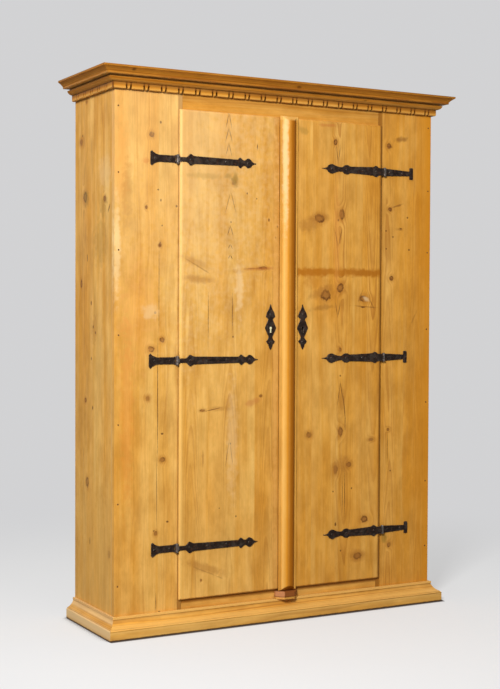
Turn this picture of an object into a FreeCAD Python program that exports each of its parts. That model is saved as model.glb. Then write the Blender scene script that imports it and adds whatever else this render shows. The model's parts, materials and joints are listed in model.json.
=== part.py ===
import FreeCAD, Part
import math
import os

# Two-door kas cupboard in pine with wrought-iron strap hinges.
# Frame: X across the front, Y from front to back, Z up, in millimetres.
# The origin is on the floor, under the middle of the overall box.

V = FreeCAD.Vector

# ---------------------------------------------------------------- dimensions

# carcass
BODY_WIDTH = 1290.0
BODY_DEPTH = 354.0
HEIGHT = 1900.0
SIDE_THICKNESS = 24.0
FRAME_THICKNESS = 24.0
LEFT_STILE_WIDTH = 249.0
RIGHT_STILE_WIDTH = 239.0
OPENING_BOTTOM = 114.0
TOP_RAIL_HEIGHT = 104.0
TENON_LENGTH = 40.0
TENON_THICKNESS = 8.0
TENON_SHOULDER = 18.0

# top, bottom, back and shelves
TOP_THICKNESS = 24.0
CORNICE_LIP = 4.0
FLOOR_THICKNESS = 22.0
THRESHOLD = 24.0
HOUSING_DEPTH = 8.0
BACK_THICKNESS = 14.0
BACK_REBATE = 12.0
BACK_BOARDS = 4
SHELF_NAMES = ("lower", "middle", "upper")
SHELF_THICKNESS = 20.0
SHELF_SETBACK = 60.0
CLEAT_HEIGHT = 32.0
CLEAT_THICKNESS = 18.0
CLEAT_SETBACK = 10.0

# cornice, in heights down from the top and reaches out from the carcass
CORNICE_REACH = 65.0
CROWN_NOSE = 6.0
CROWN_HEIGHT = 27.0
CROWN_FASCIA = 6.0
CROWN_FASCIA_REACH = 47.0
CROWN_HOLLOW = 1.5
BED_HEIGHT = 20.0
BED_QUIRK_HEIGHT = 6.0
BED_QUIRK_REACH = 22.0
BED_TOP_REACH = 31.0
BED_ROUND = 4.0
DENTIL_HEIGHT = 22.0
DENTIL_REACH = 13.0
DENTIL_PITCH = 64.0
DENTIL_START = 45.0
DENTIL_GAP = 22.0
DENTIL_GAP_HEIGHT = 14.0
DROP_TOP_WIDTH = 12.0
DROP_FOOT_WIDTH = 5.0
DENTIL_EDGE = 3.0

# plinth
PLINTH_REACH = 46.0
PLINTH_SIDE_REACH = 33.0
PLINTH_FASCIA = 34.0
PLINTH_EDGE = 3.0
PLINTH_QUIRK = 2.0
PLINTH_HEIGHT = 70.0
PLINTH_FILLET_REACH = 12.0
PLINTH_FILLET_HEIGHT = 8.0
PLINTH_COVE_INSET = 2.0
PLINTH_COVE_HOLLOW = 5.0

# doors
DOOR_PROUD = 10.0
DOOR_LIP = 12.0
DOOR_THICKNESS = 23.0
DOOR_GAP = 3.0
DOOR_EDGE_ROUND = 9.0
MEETING_X = -19.0
MEETING_GAP = 2.0
BATTEN_HEIGHT = 110.0
BATTEN_THICKNESS = 18.0
BATTEN_HINGE_INSET = 35.0
BATTEN_FREE_INSET = 14.0
BATTEN_END_GAP = 60.0

# closing strip on the right door, and the block under its foot
STRIP_WIDTH = 70.0
STRIP_HEIGHT = 22.0
STRIP_FILLET_WIDTH = 8.0
STRIP_FILLET_HEIGHT = 6.0
STRIP_BEVEL = 18.0
STRIP_BEVEL_START = 4.0
STRIP_OVER_TOP = 4.0
STRIP_UNDER_BOTTOM = 3.0
BLOCK_WIDTH = 88.0
BLOCK_REACH = 34.0
BLOCK_CANT = 24.0
BLOCK_GAP = 2.0

# hinges
HINGE_NAMES = ("bottom", "middle", "top")
BOTTOM_HINGE_RISE = 181.0
MIDDLE_HINGE_DROP = 21.0
TOP_HINGE_DROP = 171.0
HINGE_AXIS_OUT = 6.8
LEFT_AXIS_GAP = 8.0
RIGHT_AXIS_GAP = 13.0
IRON_THICKNESS = 3.0
BARREL_LENGTH = 29.0
KNUCKLE_LENGTH = 11.0
KNUCKLE_GAP = 0.3
PIN_RADIUS = 3.5
PIN_CLEARANCE = 0.05
PIN_HEAD_RADIUS = 5.2
PIN_HEAD_HEIGHT = 2.0

# Half outlines of the iron, each station a distance from the hinge axis, a half
# width, and how far the edge that starts there bows outwards.
LEFT_STRAP_STATIONS = (
    (7.0, 7.5, 0.0), (30.0, 7.5, -1.0), (42.0, 18.0, 1.5), (51.0, 18.0, -1.0), (66.0, 13.2, 0.0),
    (232.0, 10.6, -1.0), (239.0, 17.0, 1.5), (248.0, 15.5, -1.5), (260.0, 9.0, -1.0),
    (270.0, 14.5, 2.0), (282.0, 14.5, 1.0), (291.0, 7.0, -1.5), (308.0, 0.8, 0.0))
RIGHT_STRAP_STATIONS = (
    (7.0, 13.0, 0.0), (25.0, 13.0, -1.0), (36.0, 19.0, 1.5), (47.0, 19.0, -1.0), (60.0, 15.2, 0.0),
    (150.0, 11.8, -1.0), (164.0, 16.5, 1.0), (181.0, 14.0, -2.0), (194.0, 7.6, -1.5),
    (224.0, 14.5, 2.5), (243.0, 14.5, 1.5), (252.0, 5.5, -1.5), (275.0, 0.8, 0.0))

# Every leaf and strap is forged to a length of its own, given from the bottom hinge up:
# the leaves by their whole length, the straps by a stretch of the part beyond the root.
LEFT_LEAF_LENGTHS = (94.0, 104.0, 100.0)
RIGHT_LEAF_LENGTHS = (117.0, 108.0, 131.0)
LEFT_STRAP_STRETCHES = (1.02, 1.01, 0.97)
RIGHT_STRAP_STRETCHES = (0.935, 0.985, 1.0)
STRAP_ROOT = 60.0

# left-hand leaves: a plate with a small flare at the barrel and a fishtail at its end
LEFT_LEAF_HEEL = 14.0
LEFT_LEAF_HEEL_LENGTH = 8.0
LEFT_LEAF_HALF = 12.0
FISHTAIL_LENGTH = 32.0
FISHTAIL_HALF = 25.0
FISHTAIL_CORNER = 6.0

# right-hand leaves: a tapered plate that ends in a bar across it
RIGHT_LEAF_HEEL = 14.0
RIGHT_LEAF_NECK = 8.5
LEAF_BAR_WIDTH = 15.5
LEAF_BAR_HALF = 22.0
LEAF_BAR_ROUND = 4.0

# nails: distances from the hinge axis
LEAF_NAILS = (26.0, 83.0)
LEFT_STRAP_NAILS = (46.0, 112.0, 186.0, 275.0)
RIGHT_STRAP_NAILS = (41.0, 98.0, 170.0, 234.0)
NAIL_HEAD_RADIUS = 4.6
NAIL_HEAD_HEIGHT = 2.4
NAIL_SHANK_RADIUS = 1.6
NAIL_CLEARANCE = 0.05
NAIL_DEPTH = 12.0

# escutcheons, their stations measured up from the keyhole
KEYHOLE_HEIGHT = 1035.0
LEFT_KEYHOLE_X = -54.0
RIGHT_KEYHOLE_X = 78.0
ESCUTCHEON_THICKNESS = 2.2
ESCUTCHEON_STATIONS = (
    (-77.0, 0.8, 1.0), (-58.0, 9.0, 1.0), (-47.0, 17.5, -2.0), (-32.0, 7.5, 0.0), (-4.0, 21.0, 1.5),
    (6.0, 20.0, 0.0), (30.0, 9.0, -1.5), (38.0, 18.5, 2.0), (62.0, 9.5, -1.0), (84.0, 0.8, 0.0))
ESCUTCHEON_NAILS = (-50.0, 48.0)
KEYHOLE_RADIUS = 4.5
KEYHOLE_SLOT = 5.0
KEYHOLE_DROP = 17.0
KEYHOLE_PASSAGE_RADIUS = 11.0
KEY_PIN_RADIUS = 1.6
KEY_PIN_SETBACK = 4.0
INLAY_CLEARANCE = 0.1
INLAY_PROUD = 0.6

# lock on the right door and its keeper on the left one
LOCK_WIDTH = 120.0
LOCK_HEIGHT = 90.0
LOCK_DEPTH = 20.0
LOCK_PLATE = 2.0
LOCK_EDGE_GAP = 12.0
LOCK_BOLT_LENGTH = 74.0
LOCK_BOLT_HEIGHT = 24.0
LOCK_BOLT_THICKNESS = 8.0
LOCK_BOLT_PROUD = 6.0
LOCK_BOLT_RISE = 22.0
LOCK_SPRING_THICKNESS = 1.2
LOCK_SPRING_DEPTH = 10.0
LOCK_SPRING_NOSE = 30.0
LOCK_SPRING_LENGTH = 62.0
LOCK_SPRING_FOOT = 12.0
KEEPER_WIDTH = 22.0
KEEPER_EDGE_GAP = 5.0

# slide bolts on the left door, and the staples that hold them
SLIDE_BOLT_LENGTH = 190.0
SLIDE_BOLT_TRAVEL = 20.0
SLIDE_BOLT_WIDTH = 14.0
SLIDE_BOLT_THICKNESS = 8.0
SLIDE_BOLT_INSET = 30.0
SLIDE_BOLT_END_GAP = 6.0
KNOB_RADIUS = 7.0
KNOB_STEM_RADIUS = 3.5
KNOB_STEM_LENGTH = 10.0
STAPLE_WIDTH = 16.0
STAPLE_THICKNESS = 2.5
STAPLE_FOOT = 11.0
STAPLE_END_GAP = 14.0
SLIDING_GAP = 0.3

# ------------------------------------------------------------ derived places

FRONT = (CORNICE_REACH - BODY_DEPTH) / 2
BACK = FRONT + BODY_DEPTH
HALF_WIDTH = BODY_WIDTH / 2
INNER_HALF = HALF_WIDTH - SIDE_THICKNESS
OPENING_EDGES = {-1: LEFT_STILE_WIDTH - HALF_WIDTH, 1: HALF_WIDTH - RIGHT_STILE_WIDTH}
TOP_UNDERSIDE = HEIGHT - CORNICE_LIP - TOP_THICKNESS
OPENING_TOP = TOP_UNDERSIDE - TOP_RAIL_HEIGHT
FLOOR_TOP = OPENING_BOTTOM - THRESHOLD
DENTIL_TOP = HEIGHT - CROWN_HEIGHT - BED_HEIGHT
DENTIL_FOOT = DENTIL_TOP - DENTIL_HEIGHT
DOOR_EDGES = {side: edge + side * DOOR_LIP for side, edge in OPENING_EDGES.items()}
DOOR_BOTTOM = OPENING_BOTTOM - DOOR_LIP
DOOR_TOP = OPENING_TOP + DOOR_LIP
DOOR_INSIDE = DOOR_PROUD - DOOR_THICKNESS
BOTTOM_HINGE = DOOR_BOTTOM + BOTTOM_HINGE_RISE
TOP_HINGE = DOOR_TOP - TOP_HINGE_DROP
MIDDLE_HINGE = (BOTTOM_HINGE + TOP_HINGE) / 2 - MIDDLE_HINGE_DROP
HINGE_HEIGHTS = (BOTTOM_HINGE, MIDDLE_HINGE, TOP_HINGE)
STRAP_STRETCHES = {-1: LEFT_STRAP_STRETCHES, 1: RIGHT_STRAP_STRETCHES}
AXIS_GAPS = {-1: LEFT_AXIS_GAP, 1: RIGHT_AXIS_GAP}
BARREL_RADIUS = DOOR_PROUD + IRON_THICKNESS - HINGE_AXIS_OUT
STRIP_LEFT = MEETING_X + MEETING_GAP / 2
BOLT_X = MEETING_X - MEETING_GAP / 2 - SLIDE_BOLT_INSET
BOTTOM_RAIL = (0.0, OPENING_BOTTOM)
TOP_RAIL = (OPENING_TOP, TOP_UNDERSIDE)
LOWER_BATTEN = (OPENING_BOTTOM + BATTEN_END_GAP, OPENING_BOTTOM + BATTEN_END_GAP + BATTEN_HEIGHT)
UPPER_BATTEN = (OPENING_TOP - BATTEN_END_GAP - BATTEN_HEIGHT, OPENING_TOP - BATTEN_END_GAP)
SIDE_WORDS = {-1: "left", 1: "right"}
SAME_PLACE = 0.01
os.makedirs("parts", exist_ok=True)


# ------------------------------------------------------------------- helpers

def out(distance):
    """Y of a plane that stands a distance in front of the carcass front."""
    return FRONT - distance


def save(name, *solids):
    """Write one node; several solids make one group of separate pieces."""
    shape = solids[0] if len(solids) == 1 else Part.makeCompound(list(solids))
    shape.exportStep("parts/" + name + ".step")


def block(x_range, y_range, z_range):
    """Square-edged board between two places on each axis, given in any order."""
    low = [min(pair) for pair in (x_range, y_range, z_range)]
    size = [abs(pair[1] - pair[0]) for pair in (x_range, y_range, z_range)]
    return Part.makeBox(size[0], size[1], size[2], V(*low))


def outline_face(points, place):
    """Flat face whose side from each (a, b, bow) point bows outwards by that bow."""
    edges = []
    for (a, b, bow), (c, d, _) in zip(points, points[1:] + points[:1]):
        start = place(a, b)
        end = place(c, d)
        if bow:
            length = math.hypot(c - a, d - b)
            middle = place((a + c) / 2 - bow * (d - b) / length, (b + d) / 2 + bow * (c - a) / length)
            edges.append(Part.Arc(start, middle, end).toShape())
        else:
            edges.append(Part.makeLine(start, end))
    return Part.Face(Part.Wire(edges))


def both_halves(stations):
    """Closed outline from the stations of its upper half, mirrored about b = 0."""
    upper = list(stations)
    bows = [0.0] + [bow for _, _, bow in upper[:-1]]
    lower = [(a, -b, bow) for (a, b, _), bow in zip(upper, bows)]
    return upper + lower[::-1]


def rod(radius, centre, direction, length):
    return Part.makeCylinder(radius, length, centre, direction)


def nail(x, z, seat):
    """Domed nail whose head sits a distance seat in front of the carcass front."""
    sphere_radius = (NAIL_HEAD_RADIUS ** 2 + NAIL_HEAD_HEIGHT ** 2) / (2 * NAIL_HEAD_HEIGHT)
    ball = Part.makeSphere(sphere_radius, V(x, out(seat + NAIL_HEAD_HEIGHT - sphere_radius), z))
    head = ball.common(rod(NAIL_HEAD_RADIUS, V(x, out(seat), z), V(0, -1, 0), sphere_radius))
    length = seat + NAIL_DEPTH
    return head.fuse(rod(NAIL_SHANK_RADIUS, V(x, out(-NAIL_DEPTH), z), V(0, -1, 0), length))


def nail_hole(x, z, seat):
    length = seat + NAIL_DEPTH
    return rod(NAIL_SHANK_RADIUS + NAIL_CLEARANCE, V(x, out(-NAIL_DEPTH), z), V(0, -1, 0), length)


def drill(shape, holes):
    return shape.cut(Part.makeCompound(holes))


# ------------------------------------------------------------------- carcass

def side_panel(side):
    outer = side * HALF_WIDTH
    inner = side * INNER_HALF
    panel = block((outer, inner), (FRONT + FRAME_THICKNESS, BACK), (0, TOP_UNDERSIDE))
    housing = block((inner, inner + side * HOUSING_DEPTH), (FRONT, BACK - BACK_THICKNESS),
                    (FLOOR_TOP - FLOOR_THICKNESS, FLOOR_TOP))
    rebate = block((inner, inner + side * BACK_REBATE), (BACK - BACK_THICKNESS, BACK),
                   (FLOOR_TOP - FLOOR_THICKNESS, TOP_UNDERSIDE))
    return panel.cut(housing).cut(rebate)


def tenon(side, z_range):
    """Tongue of a rail, which the stile on that side holds in its mortise."""
    middle = FRONT + FRAME_THICKNESS / 2
    return block((OPENING_EDGES[side], OPENING_EDGES[side] + side * TENON_LENGTH),
                 (middle - TENON_THICKNESS / 2, middle + TENON_THICKNESS / 2),
                 (z_range[0] + TENON_SHOULDER, z_range[1] - TENON_SHOULDER))


def rail(z_range):
    board = block((OPENING_EDGES[-1], OPENING_EDGES[1]), (FRONT, FRONT + FRAME_THICKNESS), z_range)
    return board.fuse([tenon(-1, z_range), tenon(1, z_range)])


def stile(side):
    board = block((side * HALF_WIDTH, OPENING_EDGES[side]), (FRONT, FRONT + FRAME_THICKNESS),
                  (0, TOP_UNDERSIDE))
    board = board.cut(tenon(side, BOTTOM_RAIL)).cut(tenon(side, TOP_RAIL))
    return drill(board, [nail_hole(x, z, IRON_THICKNESS) for x, z in leaf_nail_places(side)])


def shelf_top(index):
    """Top face of a shelf, with the shelves spread evenly between floor and top."""
    return FLOOR_TOP + (index + 1) * (TOP_UNDERSIDE - FLOOR_TOP) / (len(SHELF_NAMES) + 1)


def shelf(index):
    top = shelf_top(index)
    return block((-INNER_HALF, INNER_HALF), (FRONT + SHELF_SETBACK, BACK - BACK_THICKNESS),
                 (top - SHELF_THICKNESS, top))


def cleat(side, index):
    top = shelf_top(index) - SHELF_THICKNESS
    return block((side * INNER_HALF, side * (INNER_HALF - CLEAT_THICKNESS)),
                 (FRONT + SHELF_SETBACK + CLEAT_SETBACK, BACK - BACK_THICKNESS),
                 (top - CLEAT_HEIGHT, top))


def back_board(index):
    half = INNER_HALF + BACK_REBATE
    width = 2 * half / BACK_BOARDS
    return block((-half + index * width, -half + (index + 1) * width), (BACK - BACK_THICKNESS, BACK),
                 (FLOOR_TOP - FLOOR_THICKNESS, TOP_UNDERSIDE))


# ----------------------------------------------------------------- mouldings

def front_moulding(profile, reach, side_reach):
    """Moulding across the front, mitred at the carcass corners; profile is (reach, z, bow)."""
    half = HALF_WIDTH + side_reach
    bar = outline_face(profile, lambda a, b: V(-half, FRONT - a, b)).extrude(V(2 * half, 0, 0))
    plan = [(-HALF_WIDTH, 0, 0), (-half, reach, 0), (half, reach, 0), (HALF_WIDTH, 0, 0)]
    mitres = outline_face(plan, lambda a, b: V(a, FRONT - b, 0)).extrude(V(0, 0, HEIGHT))
    return bar.common(mitres)


def left_moulding(profile, reach, side_reach):
    """The same moulding along the left side, made as shallow as its own reach."""
    share = side_reach / reach
    bar = outline_face(profile, lambda a, b: V(-HALF_WIDTH - a * share, FRONT - reach, b))
    bar = bar.extrude(V(0, BODY_DEPTH + reach, 0))
    plan = [(0, 0, 0), (side_reach, -reach, 0), (side_reach, BODY_DEPTH, 0), (0, BODY_DEPTH, 0)]
    mitre = outline_face(plan, lambda a, b: V(-HALF_WIDTH - a, FRONT + b, 0)).extrude(V(0, 0, HEIGHT))
    return bar.common(mitre)


def mirrored(shape):
    return shape.mirror(V(0, 0, 0), V(1, 0, 0))


def cornice_profile():
    crown_foot = HEIGHT - CROWN_HEIGHT
    fascia_top = crown_foot + CROWN_FASCIA
    bed_top = crown_foot - BED_QUIRK_HEIGHT
    return [(0, DENTIL_TOP, 0), (0, HEIGHT, 0), (CORNICE_REACH, HEIGHT, 0),
            (CORNICE_REACH, HEIGHT - CROWN_NOSE, -CROWN_HOLLOW), (CROWN_FASCIA_REACH, fascia_top, 0),
            (CROWN_FASCIA_REACH, crown_foot, 0), (BED_QUIRK_REACH, crown_foot, 0),
            (BED_QUIRK_REACH, bed_top, 0), (BED_TOP_REACH, bed_top, BED_ROUND),
            (DENTIL_REACH, DENTIL_TOP, 0)]


def dentil_profile():
    edge_bow = DENTIL_EDGE * (1 - math.sqrt(0.5))
    return [(0, DENTIL_FOOT, 0), (0, DENTIL_TOP, 0), (DENTIL_REACH, DENTIL_TOP, 0),
            (DENTIL_REACH, DENTIL_FOOT + DENTIL_EDGE, edge_bow), (DENTIL_REACH - DENTIL_EDGE, DENTIL_FOOT, 0)]


def plinth_profile():
    cove_foot = PLINTH_REACH - PLINTH_EDGE - PLINTH_QUIRK
    fillet_foot = PLINTH_HEIGHT - PLINTH_FILLET_HEIGHT
    cove_head = PLINTH_FILLET_REACH - PLINTH_COVE_INSET
    return [(0, 0, 0), (0, PLINTH_HEIGHT, 0), (PLINTH_FILLET_REACH, PLINTH_HEIGHT, 0),
            (PLINTH_FILLET_REACH, fillet_foot, 0), (cove_head, fillet_foot, -PLINTH_COVE_HOLLOW),
            (cove_foot, PLINTH_FASCIA + PLINTH_QUIRK, 0), (cove_foot, PLINTH_FASCIA, 0),
            (PLINTH_REACH - PLINTH_EDGE, PLINTH_FASCIA, 0),
            (PLINTH_REACH, PLINTH_FASCIA - PLINTH_EDGE, 0), (PLINTH_REACH, 0, 0)]


def dentil_cuts(length, place, depth):
    """Pairs of slots along a strip, each pair leaving a tapered drop between them."""
    cuts = []
    middle = DENTIL_START
    while middle + DENTIL_GAP / 2 < length:
        for side in (-1, 1):
            slot = [(middle + side * DENTIL_GAP / 2, DENTIL_FOOT, 0),
                    (middle + side * DROP_FOOT_WIDTH / 2, DENTIL_FOOT, 0),
                    (middle + side * DROP_TOP_WIDTH / 2, DENTIL_FOOT + DENTIL_GAP_HEIGHT, 0),
                    (middle + side * DENTIL_GAP / 2, DENTIL_FOOT + DENTIL_GAP_HEIGHT, 0)]
            cuts.append(outline_face(slot, place).extrude(depth))
        middle += DENTIL_PITCH
    return Part.makeCompound(cuts)


def save_surround(name, profile, reach, side_reach):
    """Front piece and two returns of a moulding."""
    side = left_moulding(profile, reach, side_reach)
    save(name + "_front", front_moulding(profile, reach, side_reach))
    save(name + "_left", side)
    save(name + "_right", mirrored(side))


def save_dentils():
    profile = dentil_profile()
    front_cuts = dentil_cuts(BODY_WIDTH, lambda a, b: V(a - HALF_WIDTH, FRONT, b), V(0, -DENTIL_REACH, 0))
    side_cuts = dentil_cuts(BODY_DEPTH, lambda a, b: V(-HALF_WIDTH, FRONT + a, b), V(-DENTIL_REACH, 0, 0))
    side = left_moulding(profile, DENTIL_REACH, DENTIL_REACH).cut(side_cuts)
    save("dentil_front", front_moulding(profile, DENTIL_REACH, DENTIL_REACH).cut(front_cuts))
    save("dentil_left", side)
    save("dentil_right", mirrored(side))


def foot_block():
    """Canted block on the plinth, under the foot of the closing strip."""
    middle = STRIP_LEFT + STRIP_WIDTH / 2
    half = BLOCK_WIDTH / 2
    plan = [(-half, 0, 0), (-half, BLOCK_REACH - BLOCK_CANT, 0), (BLOCK_CANT - half, BLOCK_REACH, 0),
            (half - BLOCK_CANT, BLOCK_REACH, 0), (half, BLOCK_REACH - BLOCK_CANT, 0), (half, 0, 0)]
    height = DOOR_BOTTOM - STRIP_UNDER_BOTTOM - BLOCK_GAP - PLINTH_HEIGHT
    base = outline_face(plan, lambda a, b: V(middle + a, out(b), PLINTH_HEIGHT))
    return base.extrude(V(0, 0, height))


# -------------------------------------------------------------------- hinges

def axis_x(side):
    return DOOR_EDGES[side] + side * AXIS_GAPS[side]


def strap_x(side, distance):
    """X of a place on a strap, a distance from the hinge axis towards the free edge."""
    return axis_x(side) - side * distance


def leaf_x(side, distance):
    """X of a place on a leaf, a distance from the hinge axis away from the door."""
    return axis_x(side) + side * distance


def leaf_nail_places(side):
    return [(leaf_x(side, distance), z) for z in HINGE_HEIGHTS for distance in LEAF_NAILS]


def stretched(distance, stretch):
    """Distance from the axis of a place on a strap, once its part beyond the root is stretched."""
    return min(distance, STRAP_ROOT) + max(distance - STRAP_ROOT, 0) * stretch


def strap_nails(side, stretch):
    distances = {-1: LEFT_STRAP_NAILS, 1: RIGHT_STRAP_NAILS}[side]
    return [stretched(distance, stretch) for distance in distances]


def strap_nail_places(side):
    return [(strap_x(side, place), z) for z, stretch in zip(HINGE_HEIGHTS, STRAP_STRETCHES[side])
            for place in strap_nails(side, stretch)]


def knuckle(side, z_range):
    foot = V(axis_x(side), out(HINGE_AXIS_OUT), z_range[0])
    return rod(BARREL_RADIUS, foot, V(0, 0, 1), z_range[1] - z_range[0])


def pin_bore(side, z):
    foot = V(axis_x(side), out(HINGE_AXIS_OUT), z - BARREL_LENGTH)
    return rod(PIN_RADIUS + PIN_CLEARANCE, foot, V(0, 0, 1), 2 * BARREL_LENGTH)


def left_leaf_stations(length):
    return [(0, LEFT_LEAF_HEEL, 0), (LEFT_LEAF_HEEL_LENGTH, LEFT_LEAF_HEEL, -1),
            (2 * LEFT_LEAF_HEEL_LENGTH, LEFT_LEAF_HALF, 0), (length - FISHTAIL_LENGTH, LEFT_LEAF_HALF, -2.5),
            (length - FISHTAIL_CORNER, FISHTAIL_HALF, 1), (length, FISHTAIL_HALF - FISHTAIL_CORNER, 0)]


def right_leaf_stations(length):
    neck = length - LEAF_BAR_WIDTH
    shoulder = LEAF_BAR_HALF - LEAF_BAR_ROUND
    corner_bow = LEAF_BAR_ROUND * (1 - math.sqrt(0.5))
    return [(0, RIGHT_LEAF_HEEL, 0), (neck, RIGHT_LEAF_NECK, 0), (neck, shoulder, corner_bow),
            (neck + LEAF_BAR_ROUND, LEAF_BAR_HALF, 0), (length - LEAF_BAR_ROUND, LEAF_BAR_HALF, corner_bow),
            (length, shoulder, 0)]


def leaf_outlines(side):
    """Stations of a side's leaves, from the bottom hinge up."""
    if side < 0:
        return [left_leaf_stations(length) for length in LEFT_LEAF_LENGTHS]
    return [right_leaf_stations(length) for length in RIGHT_LEAF_LENGTHS]


def hinge_leaf(side, stations, z):
    """Leaf on the stile, with the two outer knuckles of the barrel."""
    half = KNUCKLE_LENGTH / 2 + KNUCKLE_GAP
    clear = BARREL_RADIUS + KNUCKLE_GAP
    plate = outline_face(both_halves(stations), lambda a, b: V(leaf_x(side, a), FRONT, z + b))
    plate = plate.extrude(V(0, -IRON_THICKNESS, 0))
    slot = block((leaf_x(side, -clear), leaf_x(side, clear)), (FRONT, out(DOOR_PROUD)), (z - half, z + half))
    leaf = plate.cut(slot).fuse([knuckle(side, (z - BARREL_LENGTH / 2, z - half)),
                                 knuckle(side, (z + half, z + BARREL_LENGTH / 2))])
    holes = [nail_hole(leaf_x(side, distance), z, IRON_THICKNESS) for distance in LEAF_NAILS]
    return drill(leaf, holes + [pin_bore(side, z)])


def hinge_strap(side, stretch, z):
    """Strap on the door, with the middle knuckle of the barrel."""
    stations = {-1: LEFT_STRAP_STATIONS, 1: RIGHT_STRAP_STATIONS}[side]
    stations = [(stretched(distance, stretch), half_width, bow) for distance, half_width, bow in stations]
    half = KNUCKLE_LENGTH / 2
    plate = outline_face(both_halves(stations), lambda a, b: V(strap_x(side, a), out(DOOR_PROUD), z + b))
    plate = plate.extrude(V(0, -IRON_THICKNESS, 0))
    tongue = block((strap_x(side, 0), strap_x(side, stations[1][0])),
                   (out(DOOR_PROUD), out(DOOR_PROUD + IRON_THICKNESS)), (z - half, z + half))
    strap = plate.fuse([tongue, knuckle(side, (z - half, z + half))])
    holes = [nail_hole(strap_x(side, place), z, DOOR_PROUD + IRON_THICKNESS)
             for place in strap_nails(side, stretch)]
    return drill(strap, holes + [pin_bore(side, z)])


def hinge_pin(side, z):
    """Riveted pin with a button head at each end of the barrel."""
    foot = V(axis_x(side), out(HINGE_AXIS_OUT), z - BARREL_LENGTH / 2)
    head = V(axis_x(side), out(HINGE_AXIS_OUT), z + BARREL_LENGTH / 2)
    heads = [Part.makeCone(PIN_HEAD_RADIUS, PIN_RADIUS, PIN_HEAD_HEIGHT, head, V(0, 0, 1)),
             Part.makeCone(PIN_HEAD_RADIUS, PIN_RADIUS, PIN_HEAD_HEIGHT, foot, V(0, 0, -1))]
    return rod(PIN_RADIUS, foot, V(0, 0, 1), BARREL_LENGTH).fuse(heads)


# --------------------------------------------------------------------- doors

def free_edge(side):
    return MEETING_X + side * MEETING_GAP / 2


def keyhole_x(side):
    return {-1: LEFT_KEYHOLE_X, 1: RIGHT_KEYHOLE_X}[side]


def door_panel(side):
    """Glued-up panel: a lip that laps the frame, and a thinner body inside the opening."""
    lip = block((DOOR_EDGES[side], free_edge(side)), (FRONT, out(DOOR_PROUD)), (DOOR_BOTTOM, DOOR_TOP))
    outer_edges = [edge for edge in lip.Edges
                   if abs(edge.CenterOfMass.y - out(DOOR_PROUD)) < SAME_PLACE
                   and abs(edge.CenterOfMass.x - free_edge(side)) > SAME_PLACE]
    lip = lip.makeFillet(DOOR_EDGE_ROUND, outer_edges)
    body = block((OPENING_EDGES[side] - side * DOOR_GAP, free_edge(side)), (FRONT, out(DOOR_INSIDE)),
                 (OPENING_BOTTOM + DOOR_GAP, OPENING_TOP - DOOR_GAP))
    places = strap_nail_places(side)
    places += [(keyhole_x(side), KEYHOLE_HEIGHT + rise) for rise in ESCUTCHEON_NAILS]
    holes = [nail_hole(x, z, DOOR_PROUD) for x, z in places]
    if side > 0:
        holes.append(key_passage())
    return drill(lip.fuse(body).removeSplitter(), holes)


def key_passage():
    """Round way through the right door, behind the middle of the keyhole."""
    middle = KEYHOLE_HEIGHT + (KEYHOLE_RADIUS - KEYHOLE_DROP) / 2
    back = V(RIGHT_KEYHOLE_X, out(DOOR_INSIDE), middle)
    return rod(KEYHOLE_PASSAGE_RADIUS, back, V(0, -1, 0), DOOR_THICKNESS)


def batten(side, z_range):
    return block((DOOR_EDGES[side] - side * BATTEN_HINGE_INSET, free_edge(side) + side * BATTEN_FREE_INSET),
                 (out(DOOR_INSIDE), out(DOOR_INSIDE - BATTEN_THICKNESS)), z_range)


def closing_strip():
    """Round-faced strip with a flat fillet along each side and both ends bevelled."""
    base = DOOR_PROUD
    fillet = base + STRIP_FILLET_HEIGHT
    bow = STRIP_HEIGHT - STRIP_FILLET_HEIGHT
    foot = DOOR_BOTTOM - STRIP_UNDER_BOTTOM
    head = DOOR_TOP + STRIP_OVER_TOP
    section = [(0, base, 0), (0, fillet, 0), (STRIP_FILLET_WIDTH, fillet, bow),
               (STRIP_WIDTH - STRIP_FILLET_WIDTH, fillet, 0), (STRIP_WIDTH, fillet, 0),
               (STRIP_WIDTH, base, 0)]
    bar = outline_face(section, lambda a, b: V(STRIP_LEFT + a, out(b), foot)).extrude(V(0, 0, head - foot))
    for end, inwards in ((foot, 1), (head, -1)):
        wedge = [(base + STRIP_BEVEL_START, end, 0), (base + STRIP_BEVEL_START + STRIP_BEVEL, end, 0),
                 (base + STRIP_BEVEL_START + STRIP_BEVEL, end + inwards * STRIP_BEVEL, 0)]
        face = outline_face(wedge, lambda a, b: V(STRIP_LEFT, out(a), b))
        bar = bar.cut(face.extrude(V(STRIP_WIDTH, 0, 0)))
    return bar


def keyhole(x, clearance, y_start, length):
    """Keyhole-shaped plug: a round head over a straight slot, along the Y axis."""
    radius = KEYHOLE_RADIUS - clearance
    slot = KEYHOLE_SLOT / 2 - clearance
    foot = KEYHOLE_HEIGHT - KEYHOLE_DROP + clearance
    head = rod(radius, V(x, y_start, KEYHOLE_HEIGHT), V(0, -1, 0), length)
    return head.fuse(block((x - slot, x + slot), (y_start, y_start - length), (foot, KEYHOLE_HEIGHT)))


def escutcheon(side):
    x = keyhole_x(side)
    outline = both_halves(ESCUTCHEON_STATIONS)
    plate = outline_face(outline, lambda a, b: V(x + b, out(DOOR_PROUD), KEYHOLE_HEIGHT + a))
    plate = plate.extrude(V(0, -ESCUTCHEON_THICKNESS, 0))
    seat = DOOR_PROUD + ESCUTCHEON_THICKNESS
    holes = [nail_hole(x, KEYHOLE_HEIGHT + rise, seat) for rise in ESCUTCHEON_NAILS]
    return drill(plate, holes).cut(keyhole(x, 0, out(DOOR_PROUD), ESCUTCHEON_THICKNESS))


def door_nails(side):
    nails = [nail(x, z, DOOR_PROUD + IRON_THICKNESS) for x, z in strap_nail_places(side)]
    seat = DOOR_PROUD + ESCUTCHEON_THICKNESS
    return nails + [nail(keyhole_x(side), KEYHOLE_HEIGHT + rise, seat) for rise in ESCUTCHEON_NAILS]


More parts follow.
